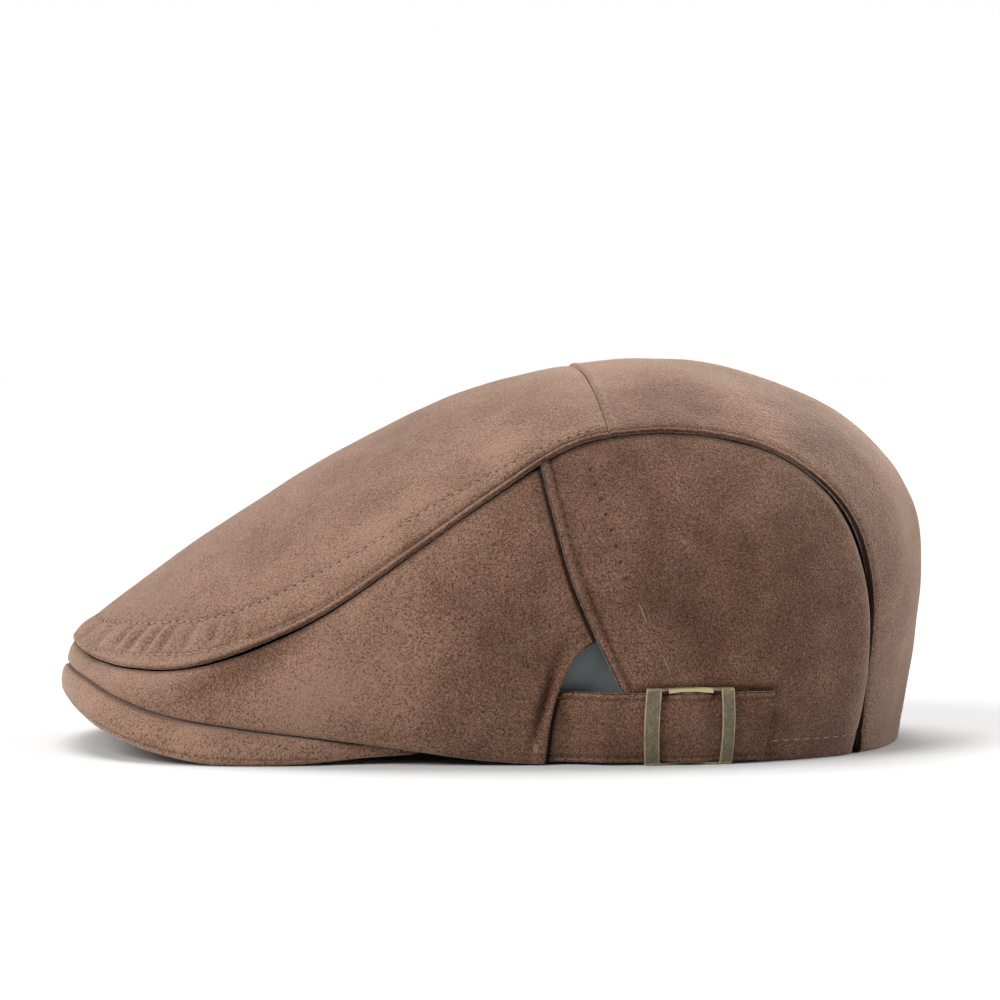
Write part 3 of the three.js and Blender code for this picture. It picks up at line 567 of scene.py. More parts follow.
    def gathers(self, along, from_seam):
        """Puckers that lean back between the two rows of stitches at the front."""
        slant = np.abs(along) - 0.3 * from_seam
        wave = np.cos(2 * math.pi * slant / 9.2 + 1.3 * np.sin(along / 8.0))
        wave = wave + 0.35 * np.cos(2 * math.pi * slant / 5.6 + 2.0)
        wave = wave * (0.75 + 0.35 * np.sin(along / 7.0 + 1.0))
        first, second = self.first_row(along), self.second_row(along)
        share = np.clip((from_seam - first) / (second - first), 0, 1)
        between = np.sin(math.pi * share ** 0.85) ** 0.8
        beyond = 0.14 * ramp(from_seam - second, 0, 2) * (1 - ramp(from_seam - second, 3, 12))
        fade = (1 - ramp(np.abs(along), 60, 105)) * ramp(np.abs(along), 3, 22)
        return self.gather_depth * fade * (between + beyond) * wave

    @staticmethod
    def cross_lean(v):
        """How far the cross seam leans off its rib: back at the long seam, and forward at the crest."""
        return 0.06 - 0.18 * (1 - np.abs(v))

    def crown_cloth(self, u, v):
        """Points of the crown's two top panels, with the folded edge along the long seam."""
        near = 1 - ramp(np.abs(u - CROSS_SEAM_RIB), 0, 4)
        base = self.top(u + near * self.cross_lean(v), v)
        from_seam, along = self.beside_seam(base)
        cross = self.top(CROSS_SEAM_RIB + self.cross_lean(v), v)
        from_cross = np.linalg.norm(base - cross, axis=-1)
        front = u < CROSS_SEAM_RIB
        at_side = ramp(np.abs(along), 80, 130)
        lift = lerp(profile(FOLDED_EDGE, from_seam), profile(WELT_EDGE, from_seam), at_side)
        lift = np.where(from_seam < 1.2, lift * (1 - 0.7 * bump(along, 0, 3)), lift)
        pull = 0.75 + 0.25 * np.cos(2 * math.pi * along / self.stitch)
        rows = -0.4 * bump(from_seam, self.first_row(along), 0.6) * pull
        rows = rows - 0.42 * bump(from_seam, self.second_row(along), 0.8) * pull
        lift = lift + np.where(front, rows + self.gathers(along, from_seam), 0)
        inward = unit(self.top(u + near * self.cross_lean(v), 0.99 * v) - base)
        base = base + inward * (ramp(u, 0.3, 1.2) * profile(UNDERCUT, from_seam))[..., None]
        between = (self.first_row(along) + self.second_row(along)) / 2
        lift = lift + np.where(front, 0.25 * bump(from_seam, between, 3.5), 0)
        ahead, behind = bumps(AHEAD_OF_CROSS_SEAM, from_cross), bumps(BEHIND_CROSS_SEAM, from_cross)
        hem = profile(FREE_EDGE, base[..., 2]) + bumps(HEM_GROOVE, base[..., 2])
        lift = lift + np.where(front, ahead, behind + hem)
        soft = ramp(from_seam, 3, 14)
        lift = lift + soft * (0.6 * soft_noise(base, 38, 1) + 0.2 * soft_noise(base, 12, 2))
        return base + self.top_facing(u, v) * lift[..., None], from_seam, along

    def seam_offset(self, distance, last):
        """Places u, v on the top at a distance from the long seam, round its front to both sides."""
        tip = np.linspace(0, 3, 600)
        away, _ = self.beside_seam(self.top(tip, 0 * tip))
        first = float(np.interp(float(distance(0.0)), away, tip))
        u = first + (last - first) * np.linspace(0, 1, 260) ** 2
        low, high = np.full_like(u, -1.0), np.zeros_like(u)
        for _ in range(22):
            middle = (low + high) / 2
            away, along = self.beside_seam(self.top(u, middle))
            near = away < distance(along)
            low = np.where(near, middle, low)
            high = np.where(near, high, middle)
        return np.concatenate([u[::-1], u[1:]]), np.concatenate([low[::-1], -low[1:]])

    def nap(self, points):
        """How light or dark the colour is at points in mm: patches of nap, with painted shade and painted
        highlights among them.
        """
        return self.fold_depth(LIGHT_AND_NAP_PATCHES, points)

    def opening(self, angle, grow):
        """A point of the head opening's oval. The angle is 0 at the front, and turns to the left."""
        back = self.table[-2][RIB_COLUMNS.index("crest_x")] - 2.7
        front = -self.half_length + self.peak_depth
        side = self.half_width * 0.932 - 4.55
        p = 2 / 2.2
        x = (front + back) / 2 - ((back - front) / 2 + grow) * power(np.cos(angle), p)
        return np.stack([x, -(side + grow) * power(np.sin(angle), p), 0 * x], -1), (front + back) / 2

    def peak_inner_height(self, angle):
        share = np.minimum(np.abs(angle) / PEAK_END_ANGLE, 1)
        return lerp(PEAK_INNER_FRONT, PEAK_INNER_END, share ** 1.6) * self.height

    def beside_wall(self, x, z, out):
        """Points beside the left wall: x along it, z up it and a distance out from its face."""
        u, t = self.find_on_wall(x, z)
        n = self.facing(self.wall, u, np.clip(t, 0.02, 0.98))
        level = unit(n * (1, 1, 0))
        n = unit(lerp(n, level, 1 - ramp(t, 0, 0.12)[..., None]))
        return self.wall(u, t) + n * np.asarray(out)[..., None], n


def bezier(a, b, c, d, t):
    t = np.asarray(t)[..., None]
    s = 1 - t
    return a * s ** 3 + b * 3 * s * s * t + c * 3 * s * t * t + d * t ** 3


def power(value, p):
    return np.sign(value) * np.abs(value) ** p


def smooth_line(points, count):
    """More points on the smooth curve through a few points."""
    points = np.asarray(points, float)
    ends = np.vstack([2 * points[0] - points[1], points, 2 * points[-1] - points[-2]])
    at = np.linspace(0, len(points) - 1, count)
    row = np.clip(np.floor(at).astype(int), 0, len(points) - 2)
    f = (at - row)[:, None]
    a, b, c, d = (ends[row + k] for k in range(4))
    square = (2 * a - 5 * b + 4 * c - d) * f ** 2
    cube = (3 * b - a - 3 * c + d) * f ** 3
    return 0.5 * (2 * b + (c - a) * f + square + cube)


def run_along(line):
    """The length of a line of points up to each of them."""
    steps = np.linalg.norm(np.diff(line, axis=0), axis=1)
    return np.concatenate([[0], np.cumsum(steps)])


def edge_spaced(length, middle, low=EDGE_STEPS, high=EDGE_STEPS):
    """Distances from 0 to length, close together at both edges."""
    shrink = min(1.0, 0.8 * length / (low[-1] + high[-1]))
    first, last = low * shrink, length - high[::-1] * shrink
    inner = np.linspace(first[-1], last[0], middle + 2)[1:-1]
    return np.concatenate([first, inner, last])


def spaced_marks(line, marks, *spacing):
    """New marks for a line that has one mark a point, edge-spaced by its length."""
    run = run_along(line)
    return np.interp(edge_spaced(run[-1], *spacing), run, marks)


def wall_marks(form, ribs, middle):
    """The wall's t at edge-spaced distances up each rib."""
    heights = np.linspace(0, 1, 80)
    return np.array([spaced_marks(form.wall(np.full_like(heights, u), heights), heights, middle)
                     for u in ribs])


def add_piece(name, bm, slot, material, *replaced, thickness=0.0, smoothing=0):
    """Makes a bmesh in metres a finished piece that rides on the cap."""
    mesh = bpy.data.meshes.new(name)
    bm.to_mesh(mesh)
    bm.free()
    mesh.polygons.foreach_set("use_smooth", [True] * len(mesh.polygons))
    piece = bpy.data.objects.new(name, mesh)
    bpy.context.collection.objects.link(piece)
    mesh.materials.append(material)
    if thickness:
        wall = piece.modifiers.new("Cloth wall", "SOLIDIFY")
        wall.thickness = thickness
        wall.offset = -1
    if smoothing:
        soft = piece.modifiers.new("Smooth", "SUBSURF")
        soft.levels = smoothing
        soft.render_levels = smoothing
    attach(piece, ROOT)
    if replaced:
        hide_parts(*replaced)
    return piece


def cloth_grid(points, nap):
    """A grid whose vertices are moved to points in mm, each with its lightness of nap and painted light."""
    rows, columns = points.shape[:2]
    bm = bmesh.new()
    lightness = bm.verts.layers.float.new("nap")
    bmesh.ops.create_grid(bm, x_segments=rows - 1, y_segments=columns - 1, size=1)
    for vert in bm.verts:
        i = round((vert.co.x + 1) / 2 * (rows - 1))
        j = round((vert.co.y + 1) / 2 * (columns - 1))
        vert.co = points[i, j] * MM
        vert[lightness] = nap[i, j]
    return bm


def joined(*made):
    """One bmesh of several, keeping their attributes."""
    whole = bmesh.new()
    for bm in made:
        mesh = bpy.data.meshes.new("joined")
        bm.to_mesh(mesh)
        bm.free()
        whole.from_mesh(mesh)
        bpy.data.meshes.remove(mesh)
    return whole


def new_material(name):
    material = bpy.data.materials.new(name)
    material.use_nodes = True
    nodes, links = material.node_tree.nodes, material.node_tree.links
    shader = nodes["Principled BSDF"]
    place = nodes.new("ShaderNodeTexCoord").outputs["Object"]

    def texture(scale, detail=2.0, roughness=0.5, distortion=0.0, stretch=(1, 1, 1)):
        vector = place
        if stretch != (1, 1, 1):
            mapping = nodes.new("ShaderNodeMapping")
            mapping.inputs["Scale"].default_value = stretch
            links.new(place, mapping.inputs["Vector"])
            vector = mapping.outputs["Vector"]
        node = nodes.new("ShaderNodeTexNoise")
        node.inputs["Scale"].default_value = scale
        node.inputs["Detail"].default_value = detail
        node.inputs["Roughness"].default_value = roughness
        node.inputs["Distortion"].default_value = distortion
        links.new(vector, node.inputs["Vector"])
        return node.outputs["Fac"]

    def sums(operation, *values):
        node = nodes.new("ShaderNodeMath")
        node.operation = operation
        for socket, value in zip(node.inputs, values):
            if isinstance(value, (int, float)):
                socket.default_value = value
            else:
                links.new(value, socket)
        return node.outputs[0]

    def graded(value, *stops):
        node = nodes.new("ShaderNodeValToRGB")
        while len(node.color_ramp.elements) < len(stops):
            node.color_ramp.elements.new(0.5)
        for element, (at, colour) in zip(node.color_ramp.elements, stops):
            element.position = at
            element.color = (*colour, 1)
        links.new(value, node.inputs["Fac"])
        return node.outputs["Color"]

    def blended(kind, factor, a, b):
        node = nodes.new("ShaderNodeMix")
        node.data_type = "RGBA"
        node.blend_type = kind
        for socket, value in zip((node.inputs[0], node.inputs[6], node.inputs[7]), (factor, a, b)):
            if isinstance(value, (int, float)):
                socket.default_value = value
            elif isinstance(value, tuple):
                socket.default_value = (*value, 1)
            else:
                links.new(value, socket)
        return node.outputs[2]

    def raised(height, distance, strength=1.0, under=None):
        node = nodes.new("ShaderNodeBump")
        node.inputs["Strength"].default_value = strength
        node.inputs["Distance"].default_value = distance
        links.new(height, node.inputs["Height"])
        if under is not None:
            links.new(under, node.inputs["Normal"])
        return node.outputs["Normal"]

    def attribute(name):
        node = nodes.new("ShaderNodeAttribute")
        node.attribute_name = name
        return node.outputs["Fac"]

    tools = {"texture": texture, "sums": sums, "graded": graded, "blended": blended, "raised": raised}
    tools["attribute"] = attribute
    return material, shader, links, tools


def suede(finish, name="Suede", brushed=(1, 1, 1), lightness=0.0):
    """Brushed suede cloth: cloudy nap, fine grain and a soft sheen, darkened and lightened by the painted
    shade and highlights that the pieces carry in their lightness attribute.
    """
    found = bpy.data.materials.get(name)
    if found:
        return found
    material, shader, links, make = new_material(name)
    texture, sums, graded, raised = (make[kind] for kind in ("texture", "sums", "graded", "raised"))
    clouds = texture(24, 2.0, 0.5, 0.3)
    patches = texture(85, 3.0, 0.55, 0.2)
    grain = texture(1700, 1.5, 0.55, 0.0, brushed)
    fibres = texture(3400, 1.0, 0.5, 0.0, brushed)
    level = sums("ADD", make["attribute"]("nap"), 0.5 + lightness)
    for value, weight in ((clouds, 0.6), (patches, 0.6)):
        level = sums("ADD", level, sums("MULTIPLY", sums("SUBTRACT", value, 0.5), weight))
    strength = sums("MINIMUM", sums("MAXIMUM", sums("ADD", level, 0.35), 0.45), 1.15)
    for value, weight in ((grain, 2.3), (fibres, 1.6)):
        fine = sums("MULTIPLY", sums("SUBTRACT", value, 0.5), weight)
        level = sums("ADD", level, sums("MULTIPLY", fine, strength))
    dark, light = tuple(finish.nap_dark), tuple(finish.nap_light)
    middle = tuple((a + b) / 2 * s for a, b, s in zip(dark, light, (0.97, 0.95, 0.93)))
    # The darkest stop is painted shade, reached where the pieces paint shade into creases, seams and gaps.
    crease_shade = tuple(value * 0.3 for value in dark)
    level = sums("MULTIPLY_ADD", level, 0.7, 0.25)
    colour = graded(level, (0.0, crease_shade), (0.25, dark), (0.6, middle), (0.95, light))
    links.new(colour, shader.inputs["Base Color"])
    normal = raised(fibres, 0.00015, 0.6)
    normal = raised(grain, 0.00045, 0.85, normal)
    normal = raised(patches, 0.0015, 0.35, normal)
    links.new(normal, shader.inputs["Normal"])
    shader.inputs["Roughness"].default_value = 0.95
    shader.inputs["Specular IOR Level"].default_value = 0.12
    shader.inputs["Sheen Weight"].default_value = 0.78
    shader.inputs["Sheen Roughness"].default_value = 0.36
    shader.inputs["Sheen Tint"].default_value = (0.9, 0.71, 0.59, 1)
    return material


def thread(finish, name="Thread", tone=1.0):
    found = bpy.data.materials.get(name)
    if found:
        return found
    material, shader, links, make = new_material(name)
    colour = tuple(c * tone for c in finish.thread)
    shade = tuple(c * 0.6 for c in colour)
    twist = make["texture"](1800, 2.0, 0.6)
    links.new(make["graded"](twist, (0.2, shade), (0.8, colour)), shader.inputs["Base Color"])
    links.new(make["raised"](twist, 0.0001, 0.6), shader.inputs["Normal"])
    shader.inputs["Roughness"].default_value = 0.75
    shader.inputs["Specular IOR Level"].default_value = 0.15
    shader.inputs["Sheen Weight"].default_value = 0.15 * tone
    return material


def satin(finish):
    """The lining's smooth grey cloth."""
    material, shader, links, make = new_material("Satin lining")
    waves = make["texture"](30, 3.0, 0.5, 0.4)
    weave = make["texture"](2400, 2.0, 0.6, 0.0, (1, 1, 0.35))
    base = tuple(finish.lining)
    tone = make["graded"](waves, (0.25, tuple(c * 0.82 for c in base)), (0.75, tuple(c * 1.15 for c in base)))
    fine = make["graded"](weave, (0.2, (0.86, 0.86, 0.86)), (0.8, (1.0, 1.0, 1.0)))
    links.new(make["blended"]("MULTIPLY", 1.0, tone, fine), shader.inputs["Base Color"])
    normal = make["raised"](weave, 0.0001, 0.3)
    links.new(make["raised"](waves, 0.0015, 0.35, normal), shader.inputs["Normal"])
    shader.inputs["Roughness"].default_value = 0.55
    shader.inputs["Specular IOR Level"].default_value = 0.4
    shader.inputs["Sheen Weight"].default_value = 0.2
    return material


def antique_brass(finish):
    """Buckle metal: dull patina on the faces, rubbed bright along the edges."""
    material, shader, links, make = new_material("Antique brass")
    specks = make["texture"](1500, 4.0, 0.7)
    blotches = make["texture"](380, 3.0, 0.6, 0.3)
    # The worn attribute is rubbed brass along the edges together with each bar's painted shade and highlight.
    worn = make["sums"]("ADD", make["attribute"]("worn"), make["sums"]("MULTIPLY", blotches, 0.5))
    worn = make["sums"]("ADD", worn, make["sums"]("MULTIPLY", make["sums"]("SUBTRACT", specks, 0.5), 0.9))
    dull, bright = tuple(finish.patina), tuple(finish.brass)
    middle = tuple(lerp(a, b, 0.4) for a, b in zip(dull, bright))
    colour = make["graded"](worn, (0.15, dull), (0.5, middle), (0.85, bright))
    links.new(colour, shader.inputs["Base Color"])
    rough = make["graded"](worn, (0.2, (0.62, 0.62, 0.62)), (0.9, (0.32, 0.32, 0.32)))
    links.new(rough, shader.inputs["Roughness"])
    links.new(make["raised"](specks, 0.00012, 0.5), shader.inputs["Normal"])
    shader.inputs["Metallic"].default_value = 0.85
    return material


def stitch_row(line, facings, pitch, size, ends=0.0):
    """Stitches along a line of points in mm, each a small rounded thread that lies on the cloth."""
    length, width, height, rise = size
    run = run_along(line)
    bm = bmesh.new()
    count = int((run[-1] - 2 * ends) / pitch)
    for k in range(count):
        at = ends + (k + 0.5) * pitch
        places = [np.array([np.interp(at + shift, run, line[:, c]) for c in range(3)])
                  for shift in (-length / 2, 0, length / 2)]
        out = unit(np.array([np.interp(at, run, facings[:, c]) for c in range(3)]))
        along = unit(places[2] - places[0])
        across = unit(np.cross(out, along))
        out = np.cross(along, across)
        centre = places[1] + out * rise
        turn = Matrix((*zip(along, across, out),)).to_4x4()
        turn.translation = Vector(centre)
        stretch = Matrix.Diagonal((length / 2, width / 2, height, 1))
        matrix = Matrix.Scale(MM, 4) @ turn @ stretch
        bmesh.ops.create_uvsphere(bm, u_segments=6, v_segments=5, radius=1, matrix=matrix)
    return bm


def stitch_rows(lines, pitch, size, ends=0.0):
    return [stitch_row(line, facings, pitch, size, ends) for line, facings in lines]


def settings():
    scene = bpy.context.scene
    return CapForm(scene.flat_cap_sizes), scene.flat_cap_sizes, scene.flat_cap_finish


class FLATCAP_OT_crown(bpy.types.Operator):
    """Models the front and back top panels of the crown"""
    bl_idname = "flatcap.crown"
    bl_label = "Crown"

    def execute(self, context):
        form, sizes, finish = settings()
        front = self.ribs(form, CROWN_TIP_RIB, CROSS_SEAM_RIB - CROSS_SEAM_GAP, 190, TIP_STEPS)
        back = self.ribs(form, CROSS_SEAM_RIB + CROSS_SEAM_GAP, BACK_RIB, 130, EDGE_STEPS)
        self.panel(form, sizes, finish, "crown_front", front, 30, 0.13)
        self.panel(form, sizes, finish, "crown_back", back, 28, -0.02)
        return {"FINISHED"}

    @staticmethod
    def ribs(form, first, last, middle, low):
        marks = np.linspace(first, last, 600)
        return spaced_marks(form.top(marks, -0.5 + 0 * marks), marks, middle, low)

    @staticmethod
    def panel(form, sizes, finish, name, ribs, middle, lightness):
        marks = np.linspace(-1, 0, 90)
        rows = []
        for u in ribs:
            line = form.top(np.full_like(marks, u), marks)
            half = spaced_marks(line, marks, middle, CROWN_STEPS, NO_STEPS)
            rows.append(np.concatenate([half, -half[-2::-1]]))
        v = np.array(rows)
        u = np.repeat(ribs[:, None], v.shape[1], axis=1)
        points, from_seam, along = form.crown_cloth(u, v)
        worn = bump(np.abs(along), 150, 35) * bump(from_seam, 5, 6)
        nap = form.nap(points) + form.fold_depth(CROWN_PATCHES, points) + lightness
        # Painted shade in the long seam with its rolled edge a little lighter, and painted shade in the
        # groove behind the welt at the sides.
        nap = nap + bumps(CROWN_SEAM_LIGHT_AND_SHADE, from_seam)
        nap = nap - 0.3 * bump(from_seam, 2.5, 0.5) * ramp(np.abs(along), 80, 130)
        # Painted shade along the long seam at the back, wider between about 16 and 36 mm above the floor.
        low = (1 - ramp(points[..., 2], 36, 48)) * ramp(points[..., 2], 8, 16)
        nap = nap - 1.5 * bump(from_seam, 0.1 + 0.9 * low, 0.6 + 0.6 * low) * ramp(points[..., 0], 85, 105)
        nap = nap + 0.3 * worn * soft_noise(points, 7, 6)
        front = u < CROSS_SEAM_RIB
        # Painted shade and highlight on the gathers: darker in their hollows, lighter on their ridges.
        nap = nap + np.where(front, 0.26 * form.gathers(along, from_seam) / form.gather_depth, 0)
        # Painted shade in the grooves of the two rows of stitches.
        nap = nap - np.where(front, 0.3 * bump(from_seam, form.first_row(along), 0.6), 0)
        nap = nap - np.where(front, 0.25 * bump(from_seam, form.second_row(along), 0.7), 0)
        bm = cloth_grid(points, nap)
        add_piece(f"{name}_cloth", bm, "suede", suede(finish), name, thickness=sizes.cloth)


class FLATCAP_OT_band(bpy.types.Operator):
    """Models the side band that runs round the front, with the notch on its left"""
    bl_idname = "flatcap.band"
    bl_label = "Front band"

    def execute(self, context):
        form, sizes, finish = settings()
        edge_rib = form.side_seam_rib
        marks = np.linspace(0, edge_rib, 400)
        half = spaced_marks(form.wall(marks, 0.6 + 0 * marks), marks, 160, NO_STEPS)
        share = np.concatenate([-half[:0:-1], half]) / edge_rib
        t = wall_marks(form, np.abs(share) * edge_rib, 40)
        s = np.repeat(share[:, None], t.shape[1], axis=1)
        edge = np.where(s > 0, form.band_edge(t, 1), form.band_edge(t, -1))
        gap = 0.012 * ramp(np.abs(s), 0.97, 1)
        u = s * (edge - gap)
        points, from_seam, from_edge = form.band_cloth(u, t)
        sewn = (u < 0) | (t > form.notch_top)
        # Painted shade below the long seam, beside the rear panel's folded edge and along the notch's edge;
        # the band is also darker towards its back.
        nap = form.nap(points) + 0.2 + bumps(BELOW_SEAM_SHADE, from_seam)
        nap = nap + np.where(sewn, bumps(SEWN_EDGE_SHADE, from_edge), bumps(NOTCH_EDGE_SHADE, from_edge))
        nap = nap - 0.34 * ramp(points[..., 0], -50, 15)
        # Painted shade in the pressed hollow beside the notch's folded edge, and a lighter patch near the
        # notch's foot.
        nap = nap + np.where(u > 0, form.fold_depth(BAND_PATCHES, points), 0)
        add_piece("band_front_cloth", cloth_grid(points, nap), "suede", suede(finish), "band_front",
                  thickness=sizes.cloth)
        return {"FINISHED"}


class FLATCAP_OT_rear_sides(bpy.types.Operator):
    """Models the rear side panels, folded over the band along the side seams"""
    bl_idname = "flatcap.rear_sides"
    bl_label = "Rear side panels"

    def execute(self, context):
        form, sizes, finish = settings()
        fit = StrapFit(form, sizes)
        marks = np.linspace(form.side_seam_rib, REAR_PANEL_END_RIB, 400)
        ribs = spaced_marks(form.wall(marks, 0.5 + 0 * marks), marks, 80, EDGE_STEPS, NO_STEPS)
        share = (ribs - ribs[0]) / (ribs[-1] - ribs[0])
        t = wall_marks(form, ribs, 62)
        u = lerp(form.rear_edge(t), REAR_PANEL_END_RIB, share[:, None])
        for side, name in ((1, "side_rear_left"), (-1, "side_rear_right")):
            points, from_seam, from_edge = (found[::side] for found in form.rear_cloth(side * u, t))
            x, z = points[..., 0], points[..., 2]
            # Painted shade below the long seam, beside the side welt's folded edge and in its stitch groove,
            # with a painted highlight on the welt's ridge.
            nap = form.nap(points) - 0.18 + bumps(BELOW_SEAM_SHADE, from_seam) + bumps(SIDE_WELT_LIGHT_AND_SHADE, from_edge)
            # Painted shade along the long seam at the back.
            nap = nap - 1.2 * bump(from_seam, 0.4, 0.8) * ramp(x, 85, 105)
            if side > 0:
                # Painted shadow on the panel just above the strap, and painted shade on the panel's free edge
                # beside the lining.
                above_strap = bump(z, fit.high + 0.6, 1.0) * ramp(x, fit.panel_x, fit.panel_x + 8)
                nap = nap - 0.55 * above_strap * (1 - ramp(x, fit.end - 1, fit.end + 3))
                nap = nap - 1.4 * bump(from_edge, 0, 0.7) * (1 - ramp(z, 34, 38))
            add_piece(f"{name}_cloth", cloth_grid(points, nap), "suede", suede(finish), name,
                      thickness=sizes.cloth)
        return {"FINISHED"}


class FLATCAP_OT_peak(bpy.types.Operator):
    """Models the stiff peak with its rounded edge and the seam line along it"""
    bl_idname = "flatcap.peak"
    bl_label = "Peak"

    def execute(self, context):
        form, _, finish = settings()
        ribs = np.linspace(-PEAK_END_RIB, PEAK_END_RIB, 150)
        points = np.array([self.section(form, u) for u in ribs])
        nap = form.nap(points) * 0.5
        for place, darker in PEAK_SEAM_LINES:
            nap[:, place] -= darker
        bm = cloth_grid(points, nap)
        bmesh.ops.remove_doubles(bm, verts=bm.verts, dist=1e-6)
        ends = [edge for edge in bm.edges if edge.is_boundary]
        bmesh.ops.holes_fill(bm, edges=ends, sides=0)
        bmesh.ops.triangulate(bm, faces=[face for face in bm.faces if len(face.verts) > 4])
        bmesh.ops.recalc_face_normals(bm, faces=bm.faces)
        add_piece("peak_cloth", bm, "suede", suede(finish, "Peak suede", (1, 1, 0.6), 0.28), "peak",
                  smoothing=1)
        return {"FINISHED"}

    @staticmethod
    def section(form, u):
        """One closed cross-section of the peak, from its inner edge out over the top and back below."""
        at = np.array(abs(u))
        rib = form.rib(at)
        rim, level = rib["rim"], form.out_of_rim(at)
        board = form.board
        reach = float(rib["out"]) * board
        foot = max(rim[2] - float(rib["drop"]) * board, 0.15)
        below = rim[2] - 0.55
        within = ramp(-reach, 2.35, 3.05)
        seat_z = lerp(below, max(foot + board, below), within)
        root = min(0, reach - 0.6)

        def beside(along, z):
            return np.array([*(rim + level * along)[:2], z])

        face = [beside(lerp(root, reach, out), lerp(seat_z, foot, down)) for out, down in PEAK_FACE]
        thick = min(board, seat_z - foot)
        angle = np.array(float(at) / PEAK_END_RIB * PEAK_END_ANGLE)
        inner = form.opening(angle, 0.35)[0]
        inner[2] = form.peak_inner_height(angle)
        clear = beside(min(root, reach - 1.56) - 2.7, seat_z)
        arch = 4 * (1 - ramp(float(at), PEAK_END_RIB - 2, PEAK_END_RIB))
        upper = []
        lower = []
        for share in np.linspace(1, 0, 8):
            point = lerp(clear, inner, share)
            point[2] += arch * math.sin(math.pi * share)
            down = point.copy()
            down[2] = max(point[2] - lerp(thick, board, share), 0.15)
            upper.append(point)
            lower.append(down)
        bottom = [beside(reach - inward, min(foot + lift, seat_z - thick)) for inward, lift in
                  ((1.2, 0.0), (2.9, 0.45))]
        loop = [*upper, *face, *bottom, *lower[::-1]]
        loop.append(loop[0])
        points = np.array(loop)
        if u < 0:
            points[:, 1] *= -1
        return points


class FLATCAP_OT_lining(bpy.types.Operator):
    """Models the loose satin lining inside the crown"""
    bl_idname = "flatcap.lining"
    bl_label = "Lining"

    def execute(self, context):
        form, _, finish = settings()
        angles, shares = np.meshgrid(np.linspace(-math.pi, math.pi, 161), np.linspace(0, 1, 60) ** 1.1,
                                     indexing="ij")
        base, centre = form.opening(angles, 0.0)
        apex = np.array([0.196 * form.half_length, 0, 0.925 * form.height])
        frontward = (1 + np.cos(angles)) / 2
        near_peak = 1 - ramp(np.abs(angles), PEAK_END_ANGLE * 0.8, PEAK_END_ANGLE * 1.25)
        foot = np.maximum(1.3, near_peak * (form.peak_inner_height(angles) + 0.35))
        fullness = lerp(3.0, 2.0, frontward)
        turn = shares * math.pi / 2
        reach = power(np.cos(turn), 2 / fullness)[..., None]
        rise = power(np.sin(turn), 2 / fullness)
        out = unit(base - np.array([centre, 0, 0]))
        swell = 3.2 * np.sin(math.pi * np.minimum(shares * 1.6, 1)) * (1 - frontward) ** 0.5
        points = apex * (1, 1, 0) * (1 - reach) + base * reach
        points[..., 2] = lerp(foot, apex[2], rise)
        points = points + out * swell[..., None]
        slack = np.sin(math.pi * np.clip(shares, 0, 1)) * 0.5 * soft_noise(points, 24, 4)
        points = points - out * np.abs(slack)[..., None]
        bm = cloth_grid(points, np.zeros(points.shape[:2]))
        bmesh.ops.remove_doubles(bm, verts=bm.verts, dist=1e-5)
        bmesh.ops.recalc_face_normals(bm, faces=bm.faces)
        add_piece("lining_cloth", bm, "lining", satin(finish), "lining", thickness=0.0008)
        return {"FINISHED"}


class FLATCAP_OT_strap(bpy.types.Operator):
    """Models the strap that comes out of the notch and runs through the buckle"""
    bl_idname = "flatcap.strap"
    bl_label = "Strap"

    def execute(self, context):
        form, sizes, finish = settings()
        fit = StrapFit(form, sizes)
        body = np.linspace(fit.start, fit.end - 0.9, 190)
        x = np.concatenate([body, fit.end - np.array([0.6, 0.35, 0.15, 0.0])])
        z = fit.low + edge_spaced(fit.high - fit.low, 16, STRAP_STEPS, STRAP_STEPS)
        x, z = np.meshgrid(x, z, indexing="ij")
        from_edge = np.minimum(z - fit.low, fit.high - z)
        from_end = fit.end - x
        lift = profile(STRAP_EDGE, from_edge) + bumps(STRAP_EDGE_GROOVE, from_edge)
        lift = lift + profile(STRAP_END, from_end) + bumps(STRAP_END_GROOVES, from_end)
        x = x - fit.slant * (fit.high - z) * ramp(x, fit.end - 12, fit.end - 4)
        points, facing = form.beside_wall(x, z, fit.out(x) + fit.thickness)
        lift = lift + 0.12 * soft_noise(points, 11, 8)
        points = points + facing * lift[..., None]
        notch_line = [(high * form.height, back * form.half_length) for back, high in NOTCH_LINE[::-1]]
        notch = profile(notch_line, z)
        # Painted highlight along the strap's edges and painted shade in its stitch grooves.
        nap = form.nap(points) - 0.2 + bumps(STRAP_EDGE_LIGHT_AND_SHADE, from_edge)
        # Painted shade on the strap's cut edges.
        nap = nap - 1.2 * bump(np.minimum(from_edge, from_end), 0, 0.25)
        # Painted shadow where the strap goes in under the notch's edge.
        nap = nap - 1.0 * (1 - ramp(x - notch, 0.4, 1.6))
        # Painted shadow beside the buckle's top bar.
        nap = nap - 1.2 * bump(np.abs(x - fit.buckle_x), 7.5, 1.1) * bump(z, fit.high, 1.2)
        bm = cloth_grid(points, nap)
        add_piece("strap_cloth", bm, "suede", suede(finish), "strap", thickness=fit.thickness * MM * 0.85)
        return {"FINISHED"}


